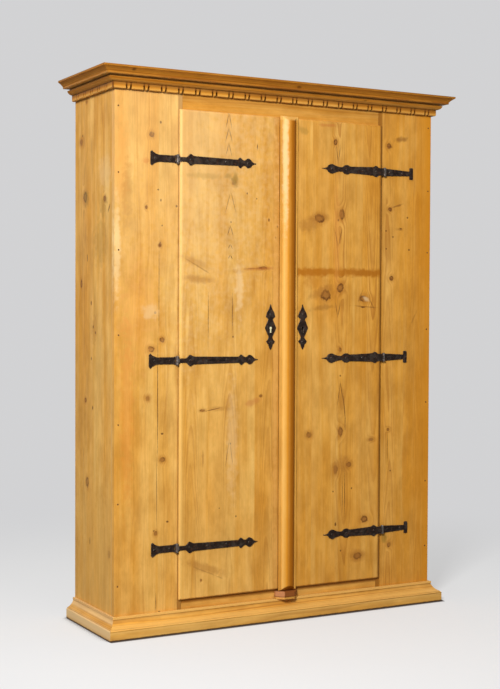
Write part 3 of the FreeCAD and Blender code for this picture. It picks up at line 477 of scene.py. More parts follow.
def wrought_iron(name, dark, grey):
    """Hand-forged iron with hammer marks, edges worn bright and partly a painted highlight, and painted
    highlights on the hinge barrels.
    """
    material, g = new_material(name)
    position = g.node("TexCoord", {}).outputs["Object"]

    def noise(scale, detail=2.0):
        return g.noise(g.vector("MULTIPLY", position, (scale, scale, scale)), detail)[0]

    inputs = {"Vector": position, "Scale": HAMMER_MARKS_PER_METRE, "Smoothness": 0.6}
    facets = g.node("TexVoronoi", inputs, feature="SMOOTH_F1").outputs["Distance"]
    blotch = noise(60.0, 3.0)
    pits = noise(900.0)
    turned = g.node("Bevel", {"Radius": EDGE_WEAR_AND_HIGHLIGHT_REACH}, samples=4).outputs[0]
    normal = g.node("NewGeometry", {}).outputs["Normal"]
    edge = g.length(g.vector("SUBTRACT", turned, normal))
    # Bright edges: wear, and partly a painted highlight.
    edge_wear_and_highlight = g.math("MULTIPLY", g.step(edge, 0.1, 0.7), g.step(noise(240.0, 3.0), 0.35, 0.65))
    color = g.mix(g.step(blotch, 0.42, 0.7), dark, grey)
    color = g.mix(g.step(noise(95.0, 4.0), 0.52, 0.7, 0.0, 0.5), color, IRON_RUST)
    side = g.split(position)[0]
    from_axes = [g.math("ABSOLUTE", g.math("SUBTRACT", side, axis)) for axis in HINGE_AXES]
    # Painted highlight along each hinge axis, where the barrels stand.
    barrel_highlight = g.step(g.math("MINIMUM", *from_axes), BARREL_HIGHLIGHT_FULL, BARREL_HIGHLIGHT_END, BARREL_HIGHLIGHT, 0.0)
    wear_and_highlight = g.clamped(g.math("ADD", g.math("MULTIPLY", edge_wear_and_highlight, 0.8), barrel_highlight))
    color = g.mix(wear_and_highlight, color, IRON_BRIGHT)
    roughness = g.math("SUBTRACT", g.spread(blotch, 0.6, 0.42), g.math("MULTIPLY", edge_wear_and_highlight, 0.12))
    height = g.math("ADD", g.math("MULTIPLY", facets, 1.4), g.math("MULTIPLY", pits, 0.12))
    settings = {"Metallic": 0.5, "Specular IOR Level": 0.3}
    finish_material(g, color, roughness, height, IRON_RELIEF, **settings)
    return material


def brass():
    """Pale polished brass, a little cloudy."""
    material, g = new_material("brass_finish")
    position = g.node("TexCoord", {}).outputs["Object"]
    cloud = g.noise(g.vector("MULTIPLY", position, (300.0, 300.0, 300.0)), 3.0)[0]
    color = g.mix(g.step(cloud, 0.35, 0.7), BRASS_BRIGHT, BRASS_DULL)
    finish_material(g, color, g.spread(cloud, 0.3, 0.45), cloud, BRASS_RELIEF, Metallic=0.2)
    return material


# --------------------------------------------------- features of each board

def chevron(x, z, half_width, half_height, thickness=1.3):
    """Two thin marks that meet at the top, or at the bottom where half_width is negative."""
    lean = math.degrees(math.atan2(half_width, 2 * half_height))
    reach = abs(half_width) / 2
    return (x - reach, z, thickness, half_height, lean), (x + reach, z, thickness, half_height, -lean)


# Knots, dots and stains on a face: middle across and up, half width and half height in
# millimetres, then a turn in degrees. A stain has a tint and an amount before them.
# WIDE_MM is the half width of a mark that runs right across its piece, and the paler spot over
# the upper left of the front, on the left stile and the left door, is a painted pool of light.
WIDE_MM = 5000
PAINTED_LIGHT_UPPER_LEFT_MM = (-480, 1800, 440, 800)
LEFT_DOOR_KNOTS_MM = (
    (-84, 1246, 15, 5), (-325, 165, 3, 4), (-323, 752, 9, 4), (-91, 796, 5, 4), (-62, 1415, 3, 5),
    (-200, 1541, 8, 10))
LEFT_DOOR_DOTS_MM = (
    (-149, 1505, 3, 4), (-111, 1488, 2.5, 3), (-109, 1668, 2, 12), (-27, 1393, 3, 4), (-34, 1354, 3, 4),
    (-203, 1005, 3, 4), (-212, 633, 3, 4), (-189, 377, 3, 4), (-300, 1067, 1.2, 100), (-206, 1090, 1.2, 76),
    (-213, 1403, 3, 4), (-255, 410, 2, 3), (-280, 754, 1.6, 34, 80), *chevron(-222, 1752, 12, 30),
    *chevron(-222, 1702, 14, 26), *chevron(-222, 1652, 12, 24), *chevron(-214, 1470, 22, 40, 1.0),
    *chevron(-215, 1372, 12, 18), *chevron(-215, 1318, 9, 9), *chevron(-215, 1282, 9, 8),
    *chevron(-216, 600, 16, 50, 0.8))
LEFT_DOOR_STAINS_MM = (
    (WEAR_AND_HIGHLIGHT, 0.3, PAINTED_LIGHT_UPPER_LEFT_MM), (SMEAR, 0.5, (-335, 1204, 64, 14, 4)), (MARK, 0.4, (-341, 1248, 52, 3, 28)),
    (SMEAR, 0.35, (-352, 1262, 60, 14, 20)), (linear(186, 108, 44), 0.55, (-105, 1243, 68, 7, -3)),
    (MARK, 0.4, (-120, 1244, 46, 2, -4)), (SMEAR, 0.35, (-190, 1232, 36, 8)),
    (linear(200, 120, 62), 0.45, (-128, 774, 36, 13, -18)), (linear(150, 88, 30), 0.4, (-319, 586, 5, 26)),
    (WEAR_AND_HIGHLIGHT, 0.5, (-178, 1175, 17, 112)), (WEAR_AND_HIGHLIGHT, 0.3, (-205, 640, 22, 210)),
    (OLIVE, 0.7, (-197, 1552, 14, 24)), (OLIVE, 0.45, (-224, 1562, 16, 10)),
    (OLIVE, 0.3, (-320, 1557, 74, 12)), (linear(238, 176, 92), 0.5, (-34, 940, 10, 840)),
    (linear(180, 112, 46), 0.35, (-45, 940, 2, 840)), (SMEAR, 0.4, (-258, 756, 46, 10)),
    (SMEAR, 0.45, (-305, 205, 92, 18, 21)), (MARK, 0.3, (-300, 190, 70, 3, 24)),
    # Painted shade on the rounded lower edge of the door, which faces down.
    (SHADE, 0.6, (0, 104, WIDE_MM, 4)))
RIGHT_DOOR_KNOTS_MM = (
    (214, 1706, 7, 10), (243, 1446, 11, 17), (148, 1428, 19, 14), (238, 1180, 12, 16, 30),
    (176, 1152, 20, 18), (340, 1141, 16, 11), (242, 656, 10, 16), (221, 519, 10, 15), (319, 195, 17, 12),
    (279, 534, 9, 9), (377, 622, 10, 6), (238, 955, 6, 9), (348, 328, 15, 11), (107, 650, 12, 10))
RIGHT_DOOR_DOTS_MM = (
    (228, 1425, 4, 5), (337, 1110, 12, 3), (240, 860, 3, 4), (292, 446, 3, 4), (212, 439, 3, 4),
    (246, 220, 3, 4), (419, 1442, 4, 5), *chevron(228, 1360, -16, 34), *chevron(228, 1100, -11, 28),
    *chevron(226, 1662, -9, 34, 1.0), (223, 318, 4, 8), (246, 806, 1.5, 40, -10), (258, 746, 1.8, 56, -6),
    (234, 790, 1.2, 44, 8), (262, 690, 1.2, 36), (262, 430, 1.2, 90), (252, 416, 1.0, 70))
RIGHT_DOOR_STAINS_MM = (
    (linear(178, 104, 6), 0.75, (235, 1236, WIDE_MM, 16)),
    (linear(180, 104, 10), 0.35, (110, 1230, 90, 20)),
    (linear(160, 92, 8), 0.35, (345, 1236, 90, 14)), (linear(188, 112, 20), 0.35, (136, 1196, 60, 22)),
    (SMEAR, 0.5, (106, 1406, 48, 26, -18)), (SMEAR, 0.45, (150, 1434, 40, 16)),
    (SMEAR, 0.5, (158, 1166, 62, 18, -24)), (MARK, 0.35, (165, 1108, 48, 11, -8)),
    (WEAR_AND_HIGHLIGHT, 0.6, (350, 1141, 18, 8, 30)), (MARK, 0.5, (345, 1112, 56, 3, 4)),
    (MARK, 0.5, (374, 1124, 3, 26, -30)), (MARK, 0.5, (326, 1152, 3, 24, 24)),
    (OLIVE, 0.4, (74, 1741, 32, 14, 20)), (linear(190, 104, 48), 0.45, (180, 1764, 40, 7)),
    (linear(226, 150, 70), 0.4, (222, 1340, 16, 220)), (SMEAR, 0.45, (255, 537, 40, 30)),
    (SMEAR, 0.4, (320, 197, 36, 22)), (linear(150, 90, 30), 0.3, (243, 757, 20, 66)),
    # Painted shade on the rounded lower edge of the door, which faces down.
    (SHADE, 0.6, (0, 104, WIDE_MM, 4)))
# Right door spot painted near black behind the keyhole, as the shade inside it.
KEYHOLE_MM = (78, 1028, 15, 22)
RIGHT_STILE_KNOTS_MM = (
    (454, 1707, 9, 9), (461, 1474, 8, 7), (469, 1218, 8, 9), (466, 223, 7, 9), (459, 655, 5, 5))
RIGHT_STILE_DOTS_MM = (
    (540, 1445, 4, 4), (444, 1393, 3, 4), (475, 1372, 4, 3), (445, 1327, 3, 4), (548, 1325, 4, 4),
    (470, 500, 3, 4), (456, 585, 1.3, 66), (510, 1403, 5, 3))
RIGHT_STILE_STAINS_MM = (
    (MARK, 0.7, (456, 1705, 11, 6)), (MARK, 0.7, (463, 1475, 8, 6)), (MARK, 0.6, (468, 1216, 8, 5)),
    (MARK, 0.6, (508, 1734, 30, 10, -8)), (MARK, 0.6, (494, 1488, 34, 4, -17)),
    (MARK, 0.45, (507, 1401, 18, 7)), (linear(140, 84, 30), 0.4, (572, 1071, 4, 30, 28)),
    (linear(136, 110, 34), 0.5, (445, 250, 12, 22)))
LEFT_STILE_KNOTS_MM = (
    (-510, 1687, 9, 9), (-478, 1318, 5, 8), (-530, 1443, 4, 6), (-468, 589, 10, 8), (-493, 339, 7, 8),
    (-524, 800, 9, 8, 30), (-470, 997, 8, 8), (-510, 965, 12, 10))
LEFT_STILE_DOTS_MM = (
    (-477, 1730, 4, 5), (-417, 1450, 4, 5), (-486, 1503, 4, 3), (-476, 1468, 3, 5), (-471, 1383, 3, 3),
    (-496, 1088, 5, 5), (-469, 677, 5, 4), (-449, 376, 5, 4), (-499, 348, 3, 3), (-479, 70, 4, 4),
    (-482, 1165, 1.0, 170), (-486, 790, 1.6, 200), (-491, 103, 1.3, 34), (-489, 480, 0.8, 130))
LEFT_STILE_STAINS_MM = (
    (WEAR_AND_HIGHLIGHT, 0.16, PAINTED_LIGHT_UPPER_LEFT_MM), (linear(238, 166, 80), 0.45, (-622, 1600, 30, 170)),
    (linear(228, 150, 62), 0.3, (-560, 1080, 70, 190)), (linear(206, 118, 60), 0.4, (-530, 1599, 12, 10)),
    (linear(250, 218, 160), 0.45, (-636, 1300, 13, 170)), (MARK, 0.75, (-479, 1316, 7, 6)),
    (MARK, 0.3, (-510, 1686, 9, 5)), (MARK, 0.7, (-530, 1443, 5, 4)), (WEAR_AND_HIGHLIGHT, 0.4, (-515, 1090, 34, 26)),
    (SMEAR, 0.35, (-600, 1480, 22, 120)), (linear(224, 140, 52), 0.45, (-600, 760, 26, 330)))
SIDE_KNOTS_MM = (
    (152, 1683, 14, 12), (103, 1818, 8, 6), (116, 1488, 15, 17), (-59, 1472, 9, 8), (151, 1188, 7, 13),
    (59, 1120, 4, 5), (95, 494, 11, 18), (-101, 275, 9, 14), (112, 781, 8, 8))
SIDE_DOTS_MM = (
    (140, 1704, 4, 5), (-97, 1438, 4, 16, -30), (40, 1038, 5, 7), (21, 1018, 6, 6), (58, 928, 4, 6),
    (45, 758, 5, 8), (70, 292, 4, 14), (95, 1277, 3, 14))
SIDE_STAINS_MM = (
    (SMEAR, 0.4, (30, 1030, 26, 60)), (OLIVE, 0.5, (108, 1486, 26, 30)), (MARK, 0.4, (-66, 1472, 20, 15)),
    (OLIVE, 0.35, (-50, 1448, 34, 34)), (OLIVE, 0.3, (-20, 1330, 60, 90)), (WEAR_AND_HIGHLIGHT, 0.3, (-60, 1560, 60, 60)),
    # A painted pool of light, paler low on the panel.
    (PALE, 0.3, (-30, 180, 320, 420)))
CORNICE_DOTS_MM = ((1882, 36, 5, 11), (1888, -600, 4, 8), (1861, 330, 3, 7))

# Tints across a piece: place in millimetres along X of an upright piece or up a level
# one, tint and amount. Most of them paint light and shade onto the wood.
# Left door: a painted highlight, with some wear, on the rounded hinge edge, and darker along the free edge
# beside the closing strip.
LEFT_DOOR_BANDS_MM = (
    (-408, PALE, 0.75), (-400, PALE, 0.6), (-396, PALE, 0.0), (-45, AMBER, 0.0), (-37, AMBER, 0.35),
    (-14, AMBER, 0.35))
# Right door: painted shade on the rounded right edge, which is turned away from the lamp.
RIGHT_DOOR_BANDS_MM = ((404, SHADE, 0.0), (410, SHADE, 0.6), (418, SHADE, 0.75))
# Left stile: a painted shade line beside the lip of the left door.
LEFT_STILE_BANDS_MM = ((-414, SHADE, 0.0), (-411, SHADE, 0.6), (-396, SHADE, 0.6))
# Right stile: the painted shadow of the right door's lip beside its edge, then the stile's own orange
# towards its outer edge.
RIGHT_STILE_BANDS_MM = (
    (406, SHADE, 0.75), (422, SHADE, 0.6), (427, SHADE, 0.0), (570, ORANGE, 0.0), (584, ORANGE, 0.3),
    (616, ORANGE, 0.35), (626, ORANGE, 0.65), (645, ORANGE, 0.65))
# Closing strip: painted light and shade on its round, pale on the left flank that faces the lamp and deep
# amber on the right one turned away.
STRIP_BANDS_MM = (
    (-18, HONEY, 0.3), (-10, HONEY, 0.3), (-6, PALE, 0.7), (0, HONEY, 0.6), (7, ORANGE, 0.9),
    (13, AMBER, 0.6), (20, AMBER, 0.95), (28, AMBER, 1.0), (42, AMBER, 1.0), (45, HONEY, 0.4),
    (52, HONEY, 0.4))
# Closing strip stains: a painted highlight high on its left flank and on its top facet.
STRIP_STAINS_MM = ((WEAR_AND_HIGHLIGHT, 0.6, (-3, 1640, 10, 260)), (PALE, 0.7, (17, 1778, WIDE_MM, 9)))
BLOCK_BANDS_MM = ((-27, ROSY, 0.8), (-5, ROSY, 0.8), (-2, RUSSET, 0.9), (61, RUSSET, 0.9))
# Foot block: the lower part in the plinth's colour and a painted shadow line above it, as if it stood on a
# fillet.
BLOCK_STAINS_MM = ((HONEY, 0.75, (0, 72, WIDE_MM, 6)), (SHADE_AND_DIRT, 0.6, (0, 79, WIDE_MM, 2)))
# Top rail: painted shadow of the dentils and cornice, darker towards the top.
TOP_RAIL_BANDS_MM = ((1790, SHADE, 0.0), (1808, SHADE, 0.12), (1819, SHADE, 0.3), (1826, SHADE, 0.15))
# Bottom rail: painted shadow under the lower edges of the doors.
BOTTOM_RAIL_BANDS_MM = ((88, SHADE, 0.0), (95, SHADE, 0.85))
# Dentil strip: a painted highlight on the lower edge of the teeth, and painted shade darker upwards under
# the bed moulding.
DENTIL_BANDS_MM = (
    (1831, PALE, 0.3), (1836, HONEY, 0.35), (1841, AMBER, 0.6), (1845, SHADE, 0.6), (1848, SHADE, 0.7),
    (1853, SHADE, 0.85))
# Cornice: painted light at the foot of the bed moulding and in the quirk under the soffit, painted shade at
# the foot of the fascia and on the top fillet.
CORNICE_BANDS_MM = (
    (1853, PALE, 0.45), (1857, HONEY, 0.3), (1860, AMBER, 0.5), (1866, AMBER, 0.55), (1867.5, PALE, 0.9),
    (1872.5, PALE, 0.9), (1874, SHADE, 0.6), (1877, SHADE, 0.4), (1879, AMBER, 0.5), (1882, AMBER, 0.3),
    (1889, AMBER, 0.2), (1894, AMBER, 0.25), (1896, SHADE, 0.65), (1900, SHADE, 0.65))
# Plinth front: near black at the foot as a painted shadow gap, painted highlights on the ledge and the top
# fillet that face up to the lamp, and painted shade lines between them.
PLINTH_FRONT_BANDS_MM = (
    (0, DEEP_SHADE, 0.95), (2.5, DEEP_SHADE, 0.85), (4.5, PALE, 0.2), (22, PALE, 0.3), (28, PALE, 0.8),
    (30, SHADE, 0.35), (33, PALE, 0.6), (40, PALE, 0.5), (48, PALE, 0.0), (58, SHADE, 0.2),
    (61, SHADE, 0.3), (64, PALE, 0.7), (69, PALE, 0.8))
# Plinth returns: near black at the foot as a painted shadow gap, painted shade low on the cove, and paler
# elsewhere.
PLINTH_SIDE_BANDS_MM = (
    (0, DEEP_SHADE, 0.9), (1.5, DEEP_SHADE, 0.7), (4, WEAR_AND_HIGHLIGHT, 0.5), (12, WEAR_AND_HIGHLIGHT, 0.8), (28, WEAR_AND_HIGHLIGHT, 0.9), (31, WEAR_AND_HIGHLIGHT, 0.8),
    (34, WEAR_AND_HIGHLIGHT, 0.6), (38, SHADE, 0.2), (43, SHADE, 0.15), (50, WEAR_AND_HIGHLIGHT, 0.5), (62, WEAR_AND_HIGHLIGHT, 0.5), (69, WEAR_AND_HIGHLIGHT, 0.5))

# Middle of the dentil strip's first notch from its corner, and the pitch of the notches.
DENTIL_START = 0.045
DENTIL_PITCH = 0.064


# ---------------------------------------------------------------- materials

def end_for_end(spots):
    """The spots of a side panel with the board turned top to bottom."""
    return [(-spot[0], SIDE_TOP_MM - spot[1], *spot[2:]) for spot in spots]


def front_woods():
    """The doors, the front frame, the closing strip and its foot."""
    inner_door = (1, *(DOOR_FRONT + depth for depth in RAW_IN_DOOR))
    inner_frame = (1, *(FRAME_BACK - depth for depth in RAW_IN_FRAME))
    return {
        "left_door_panel": pine(
            "left_door_pine", "front_upright", pith=(-0.214, FRONT + 0.004), slope=(0.0, 0.03),
            seed=2.0, spacing=0.0052, figure=0.3,
            boards=((-0.42, -0.36, 0.15, 0.28), (-0.300, -0.214, 0.25, 0.26), (-0.118, -0.06, 0.2, 0.32)),
            knots=LEFT_DOOR_KNOTS_MM, dots=LEFT_DOOR_DOTS_MM, stains=LEFT_DOOR_STAINS_MM,
            raw=inner_door, bands=LEFT_DOOR_BANDS_MM, shade_and_grime=0.5),
        "right_door_panel": pine(
            "right_door_pine", "front_upright", pith=(0.262, FRONT + 0.055), slope=(-0.02, -0.024),
            seed=5.0, spacing=0.0056, figure=0.5,
            boards=((-0.03, 0.03, -0.12, 0.4), (0.118, 0.262, -0.1, 0.38), (0.331, 0.40, -0.2, 0.46)),
            knots=RIGHT_DOOR_KNOTS_MM, dots=RIGHT_DOOR_DOTS_MM, stains=RIGHT_DOOR_STAINS_MM,
            raw=inner_door, bands=RIGHT_DOOR_BANDS_MM, shade_and_grime=0.7, hole=KEYHOLE_MM),
        "left_stile": pine(
            "left_stile_pine", "front_upright", pith=(-0.5, FRONT + 0.05), slope=(0.01, 0.0),
            seed=3.0, spacing=0.004, figure=0.34,
            boards=((-0.66, -0.56, 0.2, 0.3), (-0.486, -0.44, 0.3, 0.16)),
            knots=LEFT_STILE_KNOTS_MM, dots=LEFT_STILE_DOTS_MM, stains=LEFT_STILE_STAINS_MM,
            raw=inner_frame, bands=LEFT_STILE_BANDS_MM, shade_and_grime=0.45),
        "right_stile": pine(
            "right_stile_pine", "front_upright", pith=(0.47, FRONT + 0.03), slope=(-0.01, 0.01),
            seed=7.0, spacing=0.0044, figure=0.42,
            boards=((0.40, 0.46, -0.1, 0.44), (0.522, 0.60, -0.25, 0.62)),
            knots=RIGHT_STILE_KNOTS_MM, dots=RIGHT_STILE_DOTS_MM, stains=RIGHT_STILE_STAINS_MM,
            raw=inner_frame, bands=RIGHT_STILE_BANDS_MM, shade_and_grime=0.45),
        "top_rail": pine(
            "top_rail_pine", "front_level", pith=(1.84, FRONT + 0.06), slope=(0.01, 0.0),
            seed=4.0, spacing=0.0042, figure=0.35,
            tone=-0.2, warmth=0.38, raw=inner_frame, age=0.24, bands=TOP_RAIL_BANDS_MM, shade_and_grime=0.2),
        "bottom_rail": pine(
            "bottom_rail_pine", "front_level", pith=(0.03, FRONT + 0.05), slope=(0.02, 0.0),
            seed=9.0, spacing=0.005, figure=0.35,
            tone=0.5, warmth=0.4, raw=inner_frame, bands=BOTTOM_RAIL_BANDS_MM, shade_and_grime=0.7),
        "closing_strip": pine(
            "closing_strip_pine", "front_upright", pith=(0.09, FRONT + 0.07), slope=(0.0, 0.0),
            seed=6.0, spacing=0.0044, figure=0.22,
            tone=0.0, warmth=0.45, bands=STRIP_BANDS_MM, shade_and_grime=0.35, stains=STRIP_STAINS_MM),
        "foot_block": pine(
            "foot_block_pine", "front_upright", pith=(0.017, FRONT), slope=(0.0, 0.0),
            seed=8.0, spacing=0.003, figure=0.5,
            tone=-0.4, warmth=0.95, bands=BLOCK_BANDS_MM, shade_and_grime=0.6, stains=BLOCK_STAINS_MM),
    }


def side_woods():
    """The two side panels, which have the same knots turned end for end."""
    inner_side = (0, *(SIDE_IN + depth for depth in RAW_IN_FRAME))
    made = {}
    for side, sign, seed, warmth, knots, dots in (
            ("left", -1, 11.0, 0.2, SIDE_KNOTS_MM, SIDE_DOTS_MM),
            ("right", 1, 12.0, 0.36, end_for_end(SIDE_KNOTS_MM), end_for_end(SIDE_DOTS_MM))):
        made[side + "_side_panel"] = pine(
            side + "_side_pine", "side_upright", pith=(0.06, sign * SIDE_OUT * 0.94),
            slope=(0.01, 0.006), seed=seed, spacing=0.0046, figure=0.26,
            boards=((-0.15, -0.07, 0.15, warmth), (0.035, 0.12, 0.05, warmth + 0.06)),
            knots=knots, dots=dots, stains=SIDE_STAINS_MM, raw=inner_side, shade_and_grime=0.5)
    return made


def moulding_woods():
    """The cornice, the dentil strip and the plinth, each a front piece and two returns."""
    made = {}
    for part, seed, figure, tone, warmth, age, shade_and_grime, bands, side_bands in (
            ("cornice", 13.0, 1.2, -0.1, 0.5, 0.3, 0.15, CORNICE_BANDS_MM, CORNICE_BANDS_MM),
            ("dentil", 17.0, 0.4, -0.1, 0.5, 0.15, 0.9, DENTIL_BANDS_MM, DENTIL_BANDS_MM),
            ("plinth", 21.0, 0.65, -0.05, 0.3, 0.0, 0.4, PLINTH_FRONT_BANDS_MM, PLINTH_SIDE_BANDS_MM)):
        middle = sum(corner.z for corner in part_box(part + "_front")) / 2
        looks = {"spacing": 0.005, "figure": figure, "tone": tone, "warmth": warmth, "age": age,
                 "shade_and_grime": shade_and_grime}
        made[part + "_front"] = pine(
            part + "_front_pine", "front_level", pith=(middle, FRONT + 0.05), slope=(0.012, 0.0),
            seed=seed, dots=CORNICE_DOTS_MM if part == "cornice" else (), bands=bands,
            notches=(DENTIL_START - SIDE_OUT, DENTIL_PITCH) if part == "dentil" else None, **looks)
        for side, sign, own in (("left", -1, 1), ("right", 1, 2)):
            made[part + "_" + side] = pine(
                part + "_" + side + "_pine", "side_level", pith=(middle, sign * (SIDE_OUT - 0.03)),
                slope=(0.01, 0.0), seed=seed + own, bands=side_bands,
                notches=(DENTIL_START + FRONT, DENTIL_PITCH) if part == "dentil" else None, **looks)
    return made


def inner_woods():
    """The back, the shelves, the top and the bottom, the cleats and the battens, all left bare."""
    made = {}
    for index in range(4):
        name = "back_board_" + str(index + 1)
        low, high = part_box(name)
        edge = low.x / MM
        made[name] = pine(
            name + "_pine", "front_upright", pith=((low.x + high.x) / 2 + 0.02 * index, BACK + 0.03),
            slope=(0.01, -0.01), seed=30.0 + index, spacing=0.005, figure=0.5,
            warmth=0.2 + 0.05 * index, bare=0.6,
            knots=((edge + 90, 420 + 330 * index, 14, 17), (edge + 210, 1560 - 300 * index, 9, 12)))
    for index, word in enumerate(("lower", "middle", "upper")):
        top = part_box(word + "_shelf")[1].z
        made[word + "_shelf"] = pine(
            word + "_shelf_pine", "shelf", pith=(0.03, top + 0.03), slope=(0.012, 0.0),
            seed=40.0 + index, spacing=0.0048, figure=0.5, warmth=0.2, bare=BARE,
            knots=((40, 150 - 220 * index, 9, 14), (-20, -330 + 260 * index, 8, 12)))
    for name, grain, pith, slope, seed, spacing, tone, warmth, bare in (
            ("bottom_board", "shelf", (0.02, 0.13), (0.01, 0.0), 45.0, 0.005, 0.0, 0.2, BARE),
            ("top_board", "shelf", (0.02, 1.93), (0.01, 0.0), 46.0, 0.005, -0.1, 0.25, 0.6),
            ("shelf_cleats", "side_level", (0.9, 0.58), (0.0, 0.0), 47.0, 0.004, 0.0, 0.2, BARE)):
        made[name] = pine(
            name + "_pine", grain, pith, slope, seed, spacing, figure=0.5, tone=tone, warmth=warmth,
            bare=bare)
    battens = [door + height for door in ("left_door_", "right_door_") for height in ("lower", "upper")]
    for index, place in enumerate(battens):
        name = place + "_batten"
        low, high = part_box(name)
        made[name] = pine(
            name + "_pine", "front_level", pith=((low.z + high.z) / 2 + 0.01, high.y + 0.02),
            slope=(0.02, 0.0), seed=50.0 + index, spacing=0.0046, figure=0.5, warmth=0.25, bare=BARE)
    return made


IRON = wrought_iron("wrought_iron_finish", IRON_DARK, IRON_GREY)
NAIL_IRON = wrought_iron("old_nail_finish", NAIL_DARK, NAIL_RUST)
BRASS = brass()

# --------------------------------------------------------------------- edges

SHARP_ANGLE = math.radians(35)
WELD_DISTANCE = 0.00002
WOOD_EDGE = 0.0010
MOULDING_EDGE = 0.0006
IRON_EDGE = 0.0006
BRASS_EDGE = 0.0002
SHORTEST_WOOD_EDGE = 0.02
FINE_PIECES = ("cornice", "dentil", "plinth", "closing", "foot")


def edge_group():
    """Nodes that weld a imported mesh, mark its long sharp edges for rounding and keep short ones crisp."""
    tree = bpy.data.node_groups.new("edges", "GeometryNodeTree")
    tree.interface.new_socket("Mesh", in_out="INPUT", socket_type="NodeSocketGeometry")
    shortest = tree.interface.new_socket("Shortest", in_out="INPUT", socket_type="NodeSocketFloat")
    tree.interface.new_socket("Mesh", in_out="OUTPUT", socket_type="NodeSocketGeometry")
    g = Graph(tree)
    start = tree.nodes.new("NodeGroupInput").outputs
    end = tree.nodes.new("NodeGroupOutput").inputs
    angle = g.node("GeometryNodeInputMeshEdgeAngle", {}).outputs["Unsigned Angle"]
    ends = g.node("GeometryNodeInputMeshEdgeVertices", {}).outputs
    length = g.length(g.vector("SUBTRACT", ends["Position 1"], ends["Position 2"]))
    sharp = g.math("GREATER_THAN", angle, SHARP_ANGLE)
    rounded = g.math("MULTIPLY", sharp, g.math("GREATER_THAN", length, start["Shortest"]))
    crisp = g.math("SUBTRACT", sharp, rounded)
    mesh = start["Mesh"]
    for kind, inputs, settings in (
            ("RemoveAttribute", {"Name": "custom_normal"}, {}),
            ("MergeByDistance", {"Distance": WELD_DISTANCE}, {}),
            ("SetShadeSmooth", {"Shade Smooth": True}, {"domain": "FACE"}),
            ("SetShadeSmooth", {"Selection": crisp, "Shade Smooth": False}, {"domain": "EDGE"}),
            ("StoreNamedAttribute", {"Name": "bevel_weight_edge", "Value": rounded},
             {"data_type": "FLOAT", "domain": "EDGE"})):
        mesh = g.node("GeometryNode" + kind, {"Geometry": mesh, **inputs}, **settings).outputs[0]
    g.feed(end["Mesh"], mesh)
    return tree, shortest.identifier


EDGES, SHORTEST = edge_group()


def soften(node, width, shortest):
    """Round the sharp edges of a CAD node that are longer than shortest."""
    marked = node.modifiers.new("edges", "NODES")
    marked.node_group = EDGES
    marked[SHORTEST] = shortest
    bevel = node.modifiers.new("worn_edges", "BEVEL")
    bevel.width = width
    bevel.segments = 2
    bevel.limit_method = "WEIGHT"
    bevel.use_clamp_overlap = False
    bevel.harden_normals = True


def dress_nodes():
    """Give each node its finish and its rounded edges."""
    woods = {**front_woods(), **side_woods(), **moulding_woods(), **inner_woods()}
    for name, node in NODES.items():
        if name in woods:
            finish = woods[name]
            soften(node, MOULDING_EDGE if name.startswith(FINE_PIECES) else WOOD_EDGE, SHORTEST_WOOD_EDGE)
        elif name == "keyhole_inlay":
            finish = BRASS
            soften(node, BRASS_EDGE, 0.0)
        else:
            finish = IRON
            soften(node, IRON_EDGE, 0.0)
        for slot in node.material_slots:
            slot.material = finish


dress_nodes()

# ---------------------------------------------------------------- small nails

# Heights of the nails that fix each stile to the edge of its side panel.
LEFT_NAIL_HEIGHTS_MM = (1775, 1555, 1297, 1013, 713, 447, 171)
RIGHT_NAIL_HEIGHTS_MM = (1785, 1548, 1317, 1028, 752, 453, 206)
NAIL_INSET = 0.0135
NAIL_RADIUS = 0.0028
NAIL_SIDES = 14
NAIL_WANDER = 0.0012
NAIL_PHASE = 7.1
NAIL_UNEVENNESS = 0.08
# Rings of a nail head: share of its radius and rise from the face.
NAIL_PROFILE = ((1.0, -0.0008), (1.0, 0.0002), (0.75, 0.0006), (0.3, 0.0008))


def nail_heads(name, x, heights_mm):
    """Flat hammered heads, a little irregular, seated in the face of a stile."""
    mesh = bmesh.new()
    for count, height in enumerate(heights_mm):
        jitter = NAIL_WANDER * math.sin(NAIL_PHASE * count + x)
        centre = Vector((x + jitter, FRONT, height * MM))
        rings = []
        for share, rise in NAIL_PROFILE:
            ring = []
            for corner in range(NAIL_SIDES):
                turn = 2 * math.pi * corner / NAIL_SIDES
                reach = NAIL_RADIUS * share * (1 + NAIL_UNEVENNESS * math.sin(2 * turn + count))
                offset = Vector((reach * math.cos(turn), -rise, reach * math.sin(turn)))
                ring.append(mesh.verts.new(centre + offset))
            rings.append(ring)
        for outer, inner in zip(rings, rings[1:]):
            for corner in range(NAIL_SIDES):
                after = (corner + 1) % NAIL_SIDES
                mesh.faces.new((outer[corner], outer[after], inner[after], inner[corner]))
        mesh.faces.new(rings[-1])
        mesh.faces.new(rings[0][::-1])
    data = bpy.data.meshes.new(name)
    bmesh.ops.recalc_face_normals(mesh, faces=mesh.faces)
    mesh.to_mesh(data)
    mesh.free()
    data.shade_smooth()
    piece = bpy.data.objects.new(name, data)
    bpy.context.scene.collection.objects.link(piece)
    data.materials.append(NAIL_IRON)
    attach(piece, "cupboard")


nail_heads("left_edge_nails", NAIL_INSET - SIDE_OUT, LEFT_NAIL_HEIGHTS_MM)
nail_heads("right_edge_nails", SIDE_OUT - NAIL_INSET, RIGHT_NAIL_HEIGHTS_MM)

# --------------------------------------------------------------------- stage

WHITE = (1.0, 1.0, 1.0, 1.0)
ORIGIN = (0.0, 0.0, 0.0)
BACKDROP = (0.645, 0.645, 0.655, 1.0)
FLOOR_SEEN = (0.8, 0.8, 0.805, 1.0)
FLOOR_CLOUD = (0.82, 0.82, 0.83, 1.0)
FLOOR_CLOUDS_PER_METRE = 1.5
FLOOR_GLOW = 0.86
FLOOR_GLOW_SHARE = 0.5
